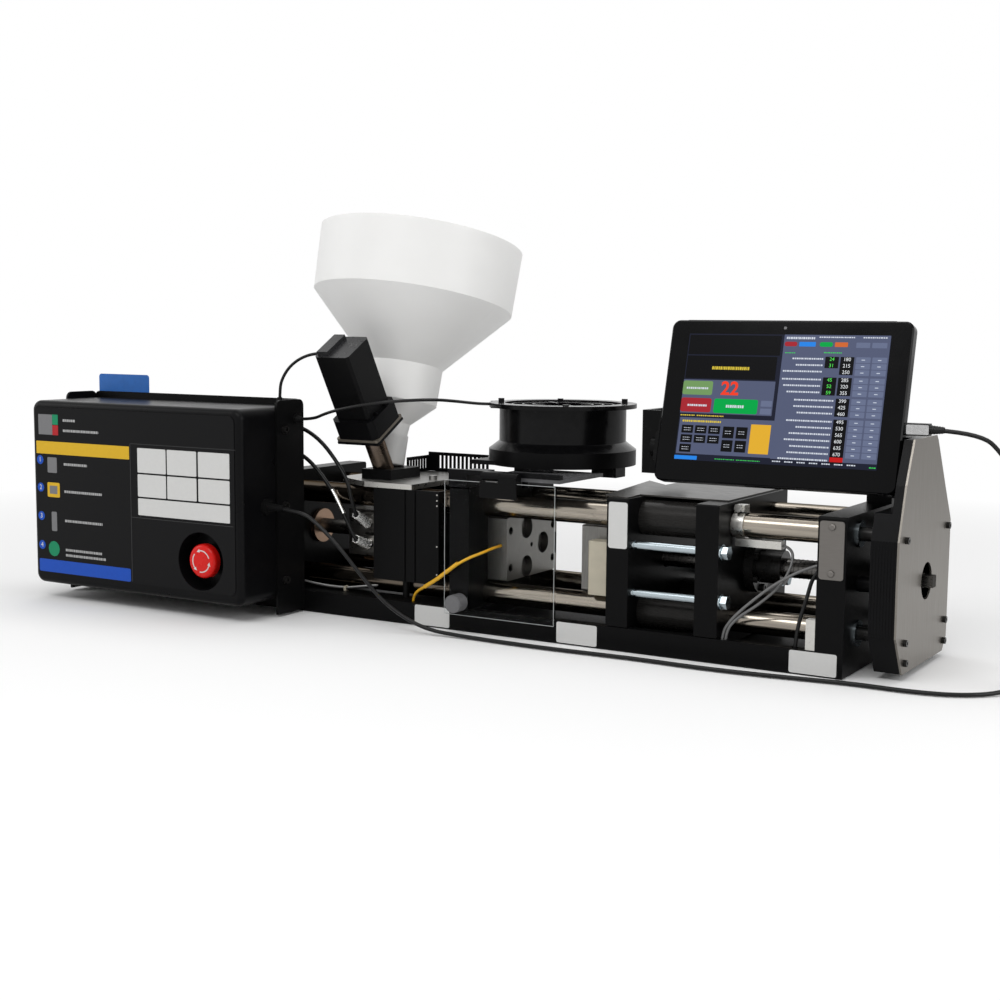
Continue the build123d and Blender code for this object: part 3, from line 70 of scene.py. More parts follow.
# Camera at the photograph's viewing angle
def add_camera():
    data = bpy.data.cameras.new("camera")
    data.sensor_width = 36.0
    data.lens = 1.54823 * data.sensor_width
    data.shift_x = 0.0095
    data.shift_y = 0.0030
    data.clip_start = 0.05
    camera = bpy.data.objects.new("camera", data)
    bpy.context.scene.collection.objects.link(camera)
    camera.location = Vector((979.36, -1546.36, 346.08)) * MM
    turn = Matrix.Rotation(math.radians(31.21), 3, "Z")
    tip = Matrix.Rotation(math.radians(90 - 6.68), 3, "X")
    roll = Matrix.Rotation(math.radians(0.43), 3, "Z")
    camera.rotation_euler = (turn @ tip @ roll).to_euler()
    bpy.context.scene.camera = camera


# Finishes
def shader_of(name):
    made = bpy.data.materials.new(name)
    made.use_nodes = True
    return made, made.node_tree.nodes, made.node_tree.links, made.node_tree.nodes["Principled BSDF"]


def grain(nodes, links, scale, stretch, detail=3.0):
    coords = nodes.new("ShaderNodeTexCoord")
    mapping = nodes.new("ShaderNodeMapping")
    mapping.inputs["Scale"].default_value = stretch
    noise = nodes.new("ShaderNodeTexNoise")
    noise.inputs["Scale"].default_value = scale
    noise.inputs["Detail"].default_value = detail
    links.new(coords.outputs["Object"], mapping.inputs["Vector"])
    links.new(mapping.outputs["Vector"], noise.inputs["Vector"])
    return noise.outputs["Fac"]


def between(nodes, links, factor, low, high):
    spread = nodes.new("ShaderNodeMapRange")
    spread.inputs["From Min"].default_value = 0.25
    spread.inputs["From Max"].default_value = 0.75
    spread.inputs["To Min"].default_value = low
    spread.inputs["To Max"].default_value = high
    links.new(factor, spread.inputs["Value"])
    return spread.outputs["Result"]


def tones(nodes, links, factor, dark, light):
    mix = nodes.new("ShaderNodeMix")
    mix.data_type = "RGBA"
    mix.inputs[6].default_value = (*dark, 1)
    mix.inputs[7].default_value = (*light, 1)
    links.new(factor, mix.inputs[0])
    return mix.outputs[2]


def raised(nodes, links, factor, strength, depth):
    bump = nodes.new("ShaderNodeBump")
    bump.inputs["Strength"].default_value = strength
    bump.inputs["Distance"].default_value = depth
    links.new(factor, bump.inputs["Height"])
    return bump.outputs["Normal"]


def finish(name, colour, rough, metal=0.0, scale=60.0, stretch=(1, 1, 1), bump=0.0, spread=0.06, shade=0.12,
           specular=0.5, coat=0.0, edge=1.0):
    made, nodes, links, shader = shader_of(name)
    shader.inputs["Metallic"].default_value = metal
    shader.inputs["Specular IOR Level"].default_value = specular
    shader.inputs["Coat Weight"].default_value = coat
    factor = grain(nodes, links, scale, stretch)
    rough_low, rough_high = max(0.02, rough - spread), min(1.0, rough + spread)
    links.new(between(nodes, links, factor, rough_low, rough_high), shader.inputs["Roughness"])
    dark = [c * (1 - shade) for c in colour]
    light = [min(1.0, c * (1 + shade)) for c in colour]
    links.new(tones(nodes, links, factor, dark, light), shader.inputs["Base Color"])
    shader.inputs["Specular Tint"].default_value = (edge, edge, edge, 1)
    if bump:
        links.new(raised(nodes, links, factor, bump, 0.0004), shader.inputs["Normal"])
    return made


def moulded_skin(name, colour, rough):
    made, nodes, links, shader = shader_of(name)
    shader.inputs["Specular IOR Level"].default_value = 0.08
    coords = nodes.new("ShaderNodeTexCoord")
    leather = nodes.new("ShaderNodeTexVoronoi")
    leather.inputs["Scale"].default_value = 1400.0
    links.new(coords.outputs["Object"], leather.inputs["Vector"])
    links.new(raised(nodes, links, leather.outputs["Distance"], 0.25, 0.0002), shader.inputs["Normal"])
    cloud = grain(nodes, links, 25.0, (1, 1, 1))
    links.new(between(nodes, links, cloud, rough - 0.05, rough + 0.07), shader.inputs["Roughness"])
    dark = [c * 0.8 for c in colour]
    light = [c * 1.25 for c in colour]
    links.new(tones(nodes, links, cloud, dark, light), shader.inputs["Base Color"])
    return made


def lit(name, colour, strength=1.0):
    made, nodes, links, shader = shader_of(name)
    factor = grain(nodes, links, 900.0, (1, 1, 1))
    dark = [c * 0.92 for c in colour]
    links.new(tones(nodes, links, factor, dark, colour), shader.inputs["Emission Color"])
    shader.inputs["Emission Strength"].default_value = strength
    shader.inputs["Base Color"].default_value = (*[c * 0.1 for c in colour], 1)
    shader.inputs["Roughness"].default_value = 0.2
    shader.inputs["Specular IOR Level"].default_value = 0.06
    return made


def hopper_plastic():
    made, nodes, links, shader = shader_of("translucent_white")
    cloud = grain(nodes, links, 9.0, (1, 1, 1))
    colour = tones(nodes, links, cloud, (0.72, 0.715, 0.70), (0.84, 0.84, 0.83))
    links.new(colour, shader.inputs["Base Color"])
    links.new(between(nodes, links, cloud, 0.36, 0.5), shader.inputs["Roughness"])
    shader.inputs["Subsurface Weight"].default_value = 0.35
    shader.inputs["Subsurface Radius"].default_value = (1.0, 1.0, 1.0)
    shader.inputs["Subsurface Scale"].default_value = 0.012
    return made


def clear_plastic():
    made, nodes, links, shader = shader_of("clear_pane")
    cloud = grain(nodes, links, 12.0, (1, 1, 1))
    links.new(between(nodes, links, cloud, 0.02, 0.05), shader.inputs["Roughness"])
    shader.inputs["Base Color"].default_value = (0.97, 0.98, 0.98, 1)
    shader.inputs["Transmission Weight"].default_value = 1.0
    shader.inputs["IOR"].default_value = 1.04
    return made


ANODISED = finish("black_anodised", (0.0032, 0.0032, 0.0034), 0.33, 0.0, 500, bump=0.04, specular=0.065)
BLACK_STEEL = finish("black_steel", (0.0036, 0.0036, 0.0038), 0.34, 0.0, 240, bump=0.05, specular=0.08)
SLEEVE_BLACK = finish("oiled_sleeve", (0.020, 0.019, 0.018), 0.28, 0.25, 120, (1, 6, 6), specular=0.35,
                      edge=0.3)
MOULDED = moulded_skin("black_moulded", (0.0030, 0.0030, 0.0034), 0.30)
GLOSS_BLACK = finish("gloss_black", (0.0020, 0.0020, 0.0023), 0.13, 0.0, 40, spread=0.03, specular=0.09)
# Rod finish: the lowered base colour and the strong stretched noise bands round the rods are painted
# reflections of dark surroundings
POLISHED_PAINTED_BANDS = finish("polished_rod_painted_reflection_bands", (0.33, 0.295, 0.25), 0.17, 1.0, 34, (0.25, 7, 7), spread=0.06,
                  shade=0.45, edge=0.25)
# Injection tie rods: a darker copy of the rod finish, painted shade and dark reflections, with the same
# painted reflection bands
ROD_PAINTED_SHADE = finish("rod_painted_dark_reflections", (0.12, 0.10, 0.08), 0.15, 1.0, 34, (0.25, 7, 7), spread=0.05, shade=0.5,
                  edge=0.25)
GROUND = finish("ground_steel", (0.25, 0.24, 0.225), 0.30, 1.0, 90, (1, 8, 8), bump=0.05, edge=0.3)
OILED = finish("oiled_screw", (0.12, 0.115, 0.11), 0.28, 1.0, 90, (1, 6, 6), bump=0.05, edge=0.35)
DARK_STEEL = finish("black_oxide", (0.020, 0.0195, 0.019), 0.30, 0.6, 140, bump=0.06, specular=0.3)
BRUSHED = finish("brushed_stainless", (0.20, 0.185, 0.165), 0.36, 1.0, 45, (14, 14, 0.6), bump=0.10)
TAG_STEEL = finish("tag_stainless", (0.16, 0.15, 0.14), 0.36, 1.0, 80, (1, 1, 14), bump=0.10)
ZINC = finish("zinc_plate", (0.42, 0.48, 0.51), 0.22, 1.0, 60, (1, 8, 8), bump=0.04, edge=0.3)
MILLED = finish("milled_aluminium", (0.17, 0.165, 0.155), 0.38, 1.0, 110, (16, 16, 1.0), bump=0.10,
                shade=0.34)
SHEET = finish("sheet_aluminium", (0.34, 0.335, 0.32), 0.36, 1.0, 80, (8, 1, 1), bump=0.07)
BRASS = finish("turned_brass", (0.30, 0.20, 0.14), 0.36, 1.0, 60, bump=0.05)
TUBE_METAL = finish("tarnished_tube", (0.16, 0.125, 0.10), 0.30, 1.0, 60, (1, 1, 5), bump=0.05, edge=0.3)
# Bright finish: real bright metal on rivets and sensor, and a painted edge highlight on the shroud top plate
BRIGHT_METAL_AND_HIGHLIGHT = finish("bright_metal_and_edge_highlight", (0.55, 0.54, 0.51), 0.30, 1.0, 200, bump=0.05)
GASKET = finish("tan_plate", (0.17, 0.15, 0.12), 0.42, 0.6, 120, bump=0.06)
CREAM = finish("cream_plastic", (0.46, 0.42, 0.33), 0.5, 0.0, 80, bump=0.04)
SMOKE = finish("smoke_sheet", (0.085, 0.085, 0.088), 0.24, 0.0, 70, (1, 9, 1), spread=0.05, specular=0.3,
               shade=0.3)
COVER_SATIN = finish("satin_cover", (0.055, 0.053, 0.050), 0.34, 0.7, 70, (1, 8, 1), bump=0.05, specular=0.3)
RUBBER = finish("rubber", (0.0045, 0.0045, 0.0046), 0.5, 0.0, 700, bump=0.12, specular=0.08)
CABLE_BLACK = finish("cable_black", (0.0070, 0.0070, 0.0072), 0.34, 0.0, 600, bump=0.08, specular=0.22)
CABLE_GREY = finish("cable_grey", (0.13, 0.13, 0.13), 0.38, 0.0, 600, bump=0.08)
YELLOW_SLEEVE = finish("yellow_sleeve", (0.74, 0.40, 0.015), 0.45, 0.0, 900, bump=0.3)
BRAID = finish("tinned_braid", (0.86, 0.86, 0.84), 0.26, 1.0, 300, bump=0.1)
RED_PLASTIC = finish("red_plastic", (0.60, 0.008, 0.006), 0.26, 0.0, 80, specular=0.2)
BLUE_PLASTIC = finish("blue_plastic", (0.015, 0.13, 0.46), 0.35, 0.0, 120, bump=0.03, specular=0.3)
PANEL_BLACK = finish("panel_print", (0.0065, 0.0065, 0.0070), 0.40, 0.0, 600, bump=0.03, specular=0.07)
KNOB_GREY = finish("knob_grey", (0.13, 0.13, 0.135), 0.4, 0.0, 500, bump=0.08, specular=0.3)
PLUG_SILVER = finish("plug_silver", (0.50, 0.50, 0.50), 0.30, 0.8, 400, bump=0.08)
MOTOR_TOP = finish("motor_top", (0.020, 0.020, 0.021), 0.30, 0.0, 200, bump=0.05, specular=0.3)
WHITE = finish("white_film", (0.58, 0.58, 0.57), 0.42, 0.0, 300, shade=0.03, bump=0.02, specular=0.15)
PALE = finish("pale_print", (0.36, 0.36, 0.36), 0.4, 0.0, 300, shade=0.04, specular=0.15)
YELLOW = finish("yellow_print", (0.62, 0.38, 0.02), 0.4, 0.0, 300, shade=0.04, specular=0.15)
RED = finish("red_print", (0.38, 0.015, 0.02), 0.4, 0.0, 300, shade=0.04, specular=0.15)
BLUE = finish("blue_print", (0.010, 0.07, 0.42), 0.36, 0.0, 300, shade=0.06, specular=0.15)
GREEN = finish("green_print", (0.008, 0.22, 0.10), 0.4, 0.0, 300, shade=0.04, specular=0.15)
GREY = finish("grey_print", (0.17, 0.17, 0.175), 0.4, 0.0, 300, shade=0.04, specular=0.15)
DIM = finish("dim_print", (0.035, 0.035, 0.036), 0.4, 0.0, 300, shade=0.04, specular=0.10)
FAN_BLACK = finish("fan_black", (0.0030, 0.0030, 0.0033), 0.20, 0.0, 120, bump=0.02, specular=0.16)
HOPPER_WHITE = hopper_plastic()
CLEAR = clear_plastic()

NODE_FINISH = {
    "base_plate": ANODISED, "stationary_platen": ANODISED, "end_block": ANODISED,
    "injection_guide_plate": ANODISED, "injection_rear_plate": ANODISED, "clamp_tie_rods": POLISHED_PAINTED_BANDS,
    "injection_tie_rods": ROD_PAINTED_SHADE, "frame_fasteners": DARK_STEEL, "drive_cover": MOULDED,
    "drive_cover_plate": BRUSHED, "clamp_motor": BLACK_STEEL, "drive_belt": RUBBER, "screw_bearing": GROUND,
    "fixed_mould_half": MILLED, "barrel": GROUND, "heater_bands": GROUND, "plunger_bushing": BRASS,
    "injection_motor": BLACK_STEEL, "shroud": BLACK_STEEL, "shroud_top_plate": SHEET,
    "heat_shield": BLACK_STEEL, "feeder_motor": BLACK_STEEL, "feeder_flange_block": MOULDED,
    "hopper": HOPPER_WHITE, "feed_neck": TUBE_METAL, "fan_housing": FAN_BLACK, "fan_mount_plate": BLACK_STEEL,
    "guard_top": MOULDED, "control_box_shell": MOULDED, "control_box_chassis": BLACK_STEEL,
    "control_panel": PANEL_BLACK, "estop_switch": MOULDED, "cable_glands": RUBBER,
    "lifting_tag": BLUE_PLASTIC, "tablet_arm": BLACK_STEEL, "position_sensor": BRIGHT_METAL_AND_HIGHLIGHT,
    "rating_plate": TAG_STEEL, "moving_platen": ANODISED, "carriage_plate": ANODISED,
    "guide_sleeves": SLEEVE_BLACK, "spacer_studs": ZINC, "ball_nut": DARK_STEEL, "moving_mould_half": MILLED,
    "mould_side_bracket": CREAM, "carriage_cover": COVER_SATIN, "clamp_ball_screw": OILED,
    "screw_pulley": MILLED, "motor_pulley": MILLED, "plunger_crosshead": GROUND,
    "injection_screw": OILED, "feeder_auger": GROUND,
    "fan_impeller": MOULDED, "estop_button": RED_PLASTIC, "guard_pane": CLEAR, "tablet": GLOSS_BLACK,
    "tablet_holder": BLACK_STEEL, "tablet_plugs": CABLE_BLACK, "usb_cord": CABLE_BLACK,
    "box_cords": CABLE_BLACK, "sensor_cords": CABLE_GREY,
}


def dress_nodes():
    for name, made in NODE_FINISH.items():
        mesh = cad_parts[name].data
        mesh.materials.clear()
        mesh.materials.append(made)
    paint_faces("guard_top", SMOKE, lambda x, y, z: 173.9 < z < 178.1 and -101.1 < y < 0.1 and x > 93.5)
    paint_faces("guard_pane", KNOB_GREY, lambda x, y, z: y < -111.05 and z < 60)
    paint_faces("guard_pane", BLACK_STEEL, lambda x, y, z: z > 172.05 or (y < -111.05 and z > 60))
    paint_faces("feed_neck", BLACK_STEEL, lambda x, y, z: z < FEED_BLOCK_TOP + 0.05)
    paint_faces("feed_neck", HOPPER_WHITE, lambda x, y, z: y > -25 and z > FEED_BLOCK_TOP + 0.05)
    paint_faces("frame_fasteners", ZINC, lambda x, y, z: 504.9 < x < 507.1 and abs(y) > 40)
    paint_faces("frame_fasteners", BRIGHT_METAL_AND_HIGHLIGHT, lambda x, y, z: 450 < x < 480 and y < -70 and 26 < z < 60)
    # The top plate's side faces take the bright finish: a painted highlight along its edges
    paint_faces("shroud_top_plate", BRIGHT_METAL_AND_HIGHLIGHT, lambda x, y, z: 153.05 < z < 158.95 and (y < -40 or x > -17))
    paint_faces("feeder_motor", MOTOR_TOP, lambda x, y, z: along_feeder(x, y, z) < -FEEDER_L + 0.6)


def paint_faces(name, made, chosen):
    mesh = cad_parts[name].data
    slot = len(mesh.materials)
    mesh.materials.append(made)
    for face in mesh.polygons:
        if chosen(*[c / MM for c in face.center]):
            face.material_index = slot


def along_feeder(x, y, z):
    return (Vector((x, y, z)) - FEEDER_FACE).dot(FEEDER_DOWN)


# Cords: node, radius, finish, real length, and the points of the route
PLUG_X = 540.2
FAN_GLAND = (-112.0, 231.0)
CORDS = {
    "usb_lead": ("usb_cord", 2.2, CABLE_BLACK, 1.23, [
        (-165, -164, 132), (-112, -164, 132), (-82, -163, 114), (-56, -160, 90), (-32, -153, 60),
        (-4, -145, 29), (38, -136, 6), (88, -131, 2.4), (140, -134, 2.4), (195, -135, 2.4), (250, -132, 2.4),
        (305, -130, 2.4), (360, -132.5, 2.4), (415, -130, 2.4), (470, -123, 2.4), (525, -115.5, 2.4),
        (576, -118, 2.4), (622, -108, 2.4), (654, -76, 2.4), (674, -44, 12), (684, -26, 46), (682, -22, 92),
        (674, -25, 138), (658, -30, 184), (636, -34, 222), (612, -35, 244.5), (PLUG_X + 16, -35, 244.5)]),
    "fan_lead": ("box_cords", 1.8, CABLE_BLACK, 0.31, [
        (BOX_RIGHT - 2, *FAN_GLAND), (-134, *FAN_GLAND), (-108, -119, 240), (-80, -123, 246.5),
        (-50, -124, 252), (-20, -119, 256), (4, -103, 258), (19, -80, 258), (25, -52, 255.5),
        (26, -22, 252.5), (26, 6, 250), (26, 29, 249)]),
    "feeder_lead": ("box_cords", 1.8, CABLE_BLACK, 0.11, [
        (-179, -115, BOX_TOP - 4), (-179, -115, 266), (-175, -115, 278), (-166, -115, 290), (-154, -115, 299),
        (-140, -115, 305), (-126, -115, 308), (-109.5, -115, 309)]),
    "heater_lead_upper": ("box_cords", 2.4, CABLE_BLACK, 0.20, [
        (-190, -99, 221), (-190, -78, 221), (-174, -70, 215), (-148, -73, 201), (-122, -80, 180),
        (-104, -84, 160), (-101, -80, 138), (-101, -72, 119), (-102, -60, 106), (-102, -45.1, 106)]),
    "heater_lead_lower": ("box_cords", 2.4, CABLE_BLACK, 0.18, [
        (-190, -99, 190), (-190, -78, 190), (-174, -71, 182), (-152, -70, 162), (-132, -70, 138),
        (-116, -71, 112), (-104, -70, 90), (-102, -60, 80), (-102, -45.1, 80)]),
    "probe_lead": ("sensor_cords", 1.6, YELLOW_SLEEVE, 0.19, [
        (89.4, -40, 94), (89.4, -64, 94), (86, -86, 90), (74, -101, 84), (56, -102, 73), (34, -101, 57),
        (13, -97, 45), (-3, -89, 37), (-10, -85, 25), (-10, -85, 4)]),
    "sensor_lead": ("sensor_cords", 1.5, CABLE_GREY, 0.15, [
        (425.3, -55, 121.5), (437, -58, 119.5), (440, -68, 104), (432, -76, 84), (412, -84, 64),
        (390, -90, 48), (378.4, -90.5, 32), (378.4, -90.5, 6)]),
    "switch_lead": ("sensor_cords", 1.5, CABLE_GREY, 0.15, [
        (474.5, -72, 109), (458, -76, 104), (430, -82, 88), (404, -87, 66), (384, -90.5, 46),
        (374.8, -90.5, 30), (374.8, -90.5, 6)]),
    "ground_lead": ("sensor_cords", 2.0, CABLE_BLACK, 0.10, [
        (474, -80, 104), (467, -82, 98), (463, -86, 76), (456, -89, 50), (453, -89, 26), (453, -89, 6)]),
}


def link(obj):
    bpy.context.scene.collection.objects.link(obj)
    return obj


def mesh_of(obj):
    return bpy.data.meshes.new_from_object(obj.evaluated_get(bpy.context.evaluated_depsgraph_get()))


def smooth_line(name, points, radius, made):
    data = bpy.data.curves.new(name, "CURVE")
    data.dimensions = "3D"
    spline = data.splines.new("NURBS")
    spline.points.add(len(points) - 1)
    for point, place in zip(spline.points, points):
        point.co = (*[c * MM for c in place], 1)
    spline.order_u = 3
    spline.use_endpoint_u = True
    spline.resolution_u = 8
    data.bevel_depth = radius * MM
    data.bevel_resolution = 4
    data.use_fill_caps = True
    data.materials.append(made)
    return link(bpy.data.objects.new(name, data))


def route_of(name, points):
    line = smooth_line(name + "_route", points, 0, CABLE_BLACK)
    line.data.use_fill_caps = False
    mesh = mesh_of(line)
    route = [vert.co.copy() for vert in mesh.vertices]
    bpy.data.objects.remove(line)
    return route


def lay_cords():
    for name, (node, radius, made, length, points) in CORDS.items():
        lead = smooth_line(name, points, radius, made)
        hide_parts(node)
        if name == "usb_lead":
            tube = link(bpy.data.objects.new(name + "_tube", mesh_of(lead)))
            bpy.data.objects.remove(lead)
            tube.name = name
            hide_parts(node)
            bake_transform(tube)
            route_of(name, points)
        else:
            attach(lead, "frame")


# Small mesh builders
def mesh_piece(name, shape, made, body, smooth=False):
    data = bpy.data.meshes.new(name)
    bmesh.ops.recalc_face_normals(shape, faces=shape.faces)
    shape.to_mesh(data)
    shape.free()
    data.materials.append(made)
    if smooth:
        data.shade_smooth()
    obj = link(bpy.data.objects.new(name, data))
    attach(obj, body)
    return obj


def add_plate(shape, place, width, height, thick, radius):
    corners = []
    radius = min(radius, width / 2 - 0.01, height / 2 - 0.01)
    for turn, (sx, sz) in enumerate(((1, 1), (-1, 1), (-1, -1), (1, -1))):
        for step in range(4):
            angle = math.radians(90 * turn + 30 * step)
            x = sx * (width / 2 - radius) + radius * math.cos(angle)
            z = sz * (height / 2 - radius) + radius * math.sin(angle)
            corners.append((x, z))
    back = [shape.verts.new(place @ Vector((x, 0, z)) * MM) for x, z in corners]
    front = [shape.verts.new(place @ Vector((x, -thick, z)) * MM) for x, z in corners]
    shape.faces.new(front)
    shape.faces.new(back)
    for index in range(len(corners)):
        after = (index + 1) % len(corners)
        shape.faces.new((back[index], back[after], front[after], front[index]))


def fields(name, made, body, plane, rects, thick=0.15, radius=0.6):
    shape = bmesh.new()
    for x0, x1, z0, z1 in rects:
        place = plane @ Matrix.Translation(((x0 + x1) / 2, 0, (z0 + z1) / 2))
        add_plate(shape, place, abs(x1 - x0), abs(z1 - z0), thick, radius)
    return mesh_piece(name, shape, made, body)


# A line broken into short fields, standing for a row of plain marks
def dashes(lines, lengths, gap):
    pieces = []
    for x0, x1, z0, z1 in lines:
        start, turn = x0, 0
        while start < x1:
            end = min(start + lengths[turn % len(lengths)], x1)
            pieces.append((start, end, z0, z1))
            start, turn = end + gap, turn + 1
    return pieces


def discs(name, made, body, plane, places, radius, thick=0.2):
    return fields(name, made, body, plane,
                  [(x - radius, x + radius, z - radius, z + radius) for x, z in places], thick, radius)


def numerals(name, made, body, plane, marks, size, thick=0.1, bold=0.0):
    parts = bmesh.new()
    for text, x, z in marks:
        data = bpy.data.curves.new(name, "FONT")
        data.body = text
        data.size = size
        data.align_x = "CENTER"
        data.align_y = "CENTER"
        data.extrude = thick / 2
        data.offset = bold
        data.resolution_u = 3
        source = link(bpy.data.objects.new(name + "_text", data))
        mesh = mesh_of(source)
        bpy.data.objects.remove(source)
        upright = plane @ Matrix.Translation((x, -thick / 2, z)) @ Matrix.Rotation(math.pi / 2, 4, "X")
        mesh.transform(Matrix.Scale(MM, 4) @ upright)
        parts.from_mesh(mesh)
        bpy.data.meshes.remove(mesh)
    return mesh_piece(name, parts, made, body)


# Geometry trees
def new_tree(name, sizes_in):
    tree = bpy.data.node_groups.new(name, "GeometryNodeTree")
    tree.interface.new_socket("Geometry", in_out="OUTPUT", socket_type="NodeSocketGeometry")
    for label, kind, value in sizes_in:
        socket = tree.interface.new_socket(label, in_out="INPUT", socket_type=kind)
        socket.default_value = value
    tree.interface.new_socket("Finish", in_out="INPUT", socket_type="NodeSocketMaterial")
    return tree, tree.nodes.new("NodeGroupInput"), tree.nodes.new("NodeGroupOutput")


def maths(tree, operation, first, second):
    node = tree.nodes.new("ShaderNodeMath")
    node.operation = operation
    for socket, value in zip(node.inputs, (first, second)):
        if isinstance(value, (int, float)):
            socket.default_value = value
        else:
            tree.links.new(value, socket)
    return node.outputs[0]


def close_tree(tree, geometry, inputs, outputs):
    realize = tree.nodes.new("GeometryNodeRealizeInstances")
    paint = tree.nodes.new("GeometryNodeSetMaterial")
    tree.links.new(geometry, realize.inputs["Geometry"])
    tree.links.new(realize.outputs["Geometry"], paint.inputs["Geometry"])
    tree.links.new(inputs.outputs["Finish"], paint.inputs["Material"])
    tree.links.new(paint.outputs["Geometry"], outputs.inputs["Geometry"])
    return tree


def helix_tree():
    tree, inputs, outputs = new_tree("helix_ridge", [
        ("Radius", "NodeSocketFloat", 0.01), ("Top Radius", "NodeSocketFloat", 0.01),
        ("Length", "NodeSocketFloat", 0.05), ("Turns", "NodeSocketFloat", 5.0),
        ("Ridge", "NodeSocketFloat", 0.001), ("Strands", "NodeSocketInt", 1),
        ("Both Ways", "NodeSocketFloat", 0.0)])
    halves = []
    for reverse in (False, True):
        spiral = tree.nodes.new("GeometryNodeCurveSpiral")
        spiral.inputs["Resolution"].default_value = 20
        spiral.inputs["Reverse"].default_value = reverse
        tree.links.new(inputs.outputs["Turns"], spiral.inputs["Rotations"])
        tree.links.new(inputs.outputs["Radius"], spiral.inputs["Start Radius"])
        tree.links.new(inputs.outputs["Top Radius"], spiral.inputs["End Radius"])
        tree.links.new(inputs.outputs["Length"], spiral.inputs["Height"])
        profile = tree.nodes.new("GeometryNodeCurvePrimitiveCircle")
        profile.inputs["Resolution"].default_value = 6
        tree.links.new(inputs.outputs["Ridge"], profile.inputs["Radius"])
        tube = tree.nodes.new("GeometryNodeCurveToMesh")
        tree.links.new(spiral.outputs["Curve"], tube.inputs["Curve"])
        tree.links.new(profile.outputs["Curve"], tube.inputs["Profile Curve"])
        tube.inputs["Fill Caps"].default_value = True
        line = tree.nodes.new("GeometryNodeMeshLine")
        line.inputs["Offset"].default_value = (0, 0, 0)
        tree.links.new(inputs.outputs["Strands"], line.inputs["Count"])
        index = tree.nodes.new("GeometryNodeInputIndex")
        step = maths(tree, "DIVIDE", 2 * math.pi, inputs.outputs["Strands"])
        angle = maths(tree, "MULTIPLY", index.outputs[0], step)
        turn = tree.nodes.new("ShaderNodeCombineXYZ")
        tree.links.new(angle, turn.inputs["Z"])
        copies = tree.nodes.new("GeometryNodeInstanceOnPoints")
        tree.links.new(line.outputs["Mesh"], copies.inputs["Points"])
        tree.links.new(tube.outputs["Mesh"], copies.inputs["Instance"])
        tree.links.new(turn.outputs["Vector"], copies.inputs["Rotation"])
        halves.append(copies.outputs["Instances"])
    switch = tree.nodes.new("GeometryNodeSwitch")
    compare = maths(tree, "GREATER_THAN", inputs.outputs["Both Ways"], 0.5)
    tree.links.new(compare, switch.inputs["Switch"])
    tree.links.new(halves[1], switch.inputs["True"])
    join = tree.nodes.new("GeometryNodeJoinGeometry")
    tree.links.new(halves[0], join.inputs["Geometry"])
    tree.links.new(switch.outputs["Output"], join.inputs["Geometry"])
    return close_tree(tree, join.outputs["Geometry"], inputs, outputs)


def rib_tree():
    tree, inputs, outputs = new_tree("row_of_ribs", [
        ("Count", "NodeSocketInt", 5), ("Pitch", "NodeSocketFloat", 0.002),
        ("Radius", "NodeSocketFloat", 0.004), ("Taper", "NodeSocketFloat", 0.0),
        ("Thickness", "NodeSocketFloat", 0.001)])
    line = tree.nodes.new("GeometryNodeMeshLine")
    offset = tree.nodes.new("ShaderNodeCombineXYZ")
    tree.links.new(inputs.outputs["Pitch"], offset.inputs["Z"])
    tree.links.new(offset.outputs["Vector"], line.inputs["Offset"])
    tree.links.new(inputs.outputs["Count"], line.inputs["Count"])
    rib = tree.nodes.new("GeometryNodeMeshCylinder")
    rib.inputs["Vertices"].default_value = 28
    tree.links.new(inputs.outputs["Radius"], rib.inputs["Radius"])
    tree.links.new(inputs.outputs["Thickness"], rib.inputs["Depth"])
    index = tree.nodes.new("GeometryNodeInputIndex")
    loss = maths(tree, "MULTIPLY", index.outputs[0], inputs.outputs["Taper"])
    size = maths(tree, "SUBTRACT", 1.0, loss)
    scale = tree.nodes.new("ShaderNodeCombineXYZ")
    scale.inputs["Z"].default_value = 1.0
    tree.links.new(size, scale.inputs["X"])
    tree.links.new(size, scale.inputs["Y"])
    copies = tree.nodes.new("GeometryNodeInstanceOnPoints")
    tree.links.new(line.outputs["Mesh"], copies.inputs["Points"])
    tree.links.new(rib.outputs["Mesh"], copies.inputs["Instance"])
    tree.links.new(scale.outputs["Vector"], copies.inputs["Scale"])
    return close_tree(tree, copies.outputs["Instances"], inputs, outputs)


HELIX = helix_tree()
RIBS = rib_tree()


def grow(name, tree, made, body, place, smooth=False, **values):
    obj = link(bpy.data.objects.new(name, bpy.data.meshes.new(name)))
    shape = obj.modifiers.new("shape", "NODES")
    shape.node_group = tree
    wanted = {"Finish": made, **{label.replace("_", " "): value for label, value in values.items()}}
    for item in tree.interface.items_tree:
        if item.in_out == "INPUT" and item.name in wanted:
            shape[item.identifier] = wanted[item.name]
    data = mesh_of(obj)
    obj.modifiers.remove(shape)
    data.transform(place)
    if smooth:
        data.shade_smooth()
    obj.data = data
    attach(obj, body)
    return obj


def towards(start, end):
    direction = Vector(end) - Vector(start)
    turn = direction.to_track_quat("Z", "Y").to_matrix().to_4x4()
    return Matrix.Translation(Vector(start) * MM) @ turn


PANEL = Matrix.Translation((0, PANEL_FACE, 0))
BASE_FACE = Matrix.Translation((0, BASE_FRONT, 0))
SCREEN = Matrix.Translation(TABLET_CENTRE) @ Matrix.Rotation(-TABLET_LEAN, 4, "X")


# Printed panel of the control box
PANEL_STEPS = (173.2, 139.1, 103.7, 67.5)
STEP_X = -480.5


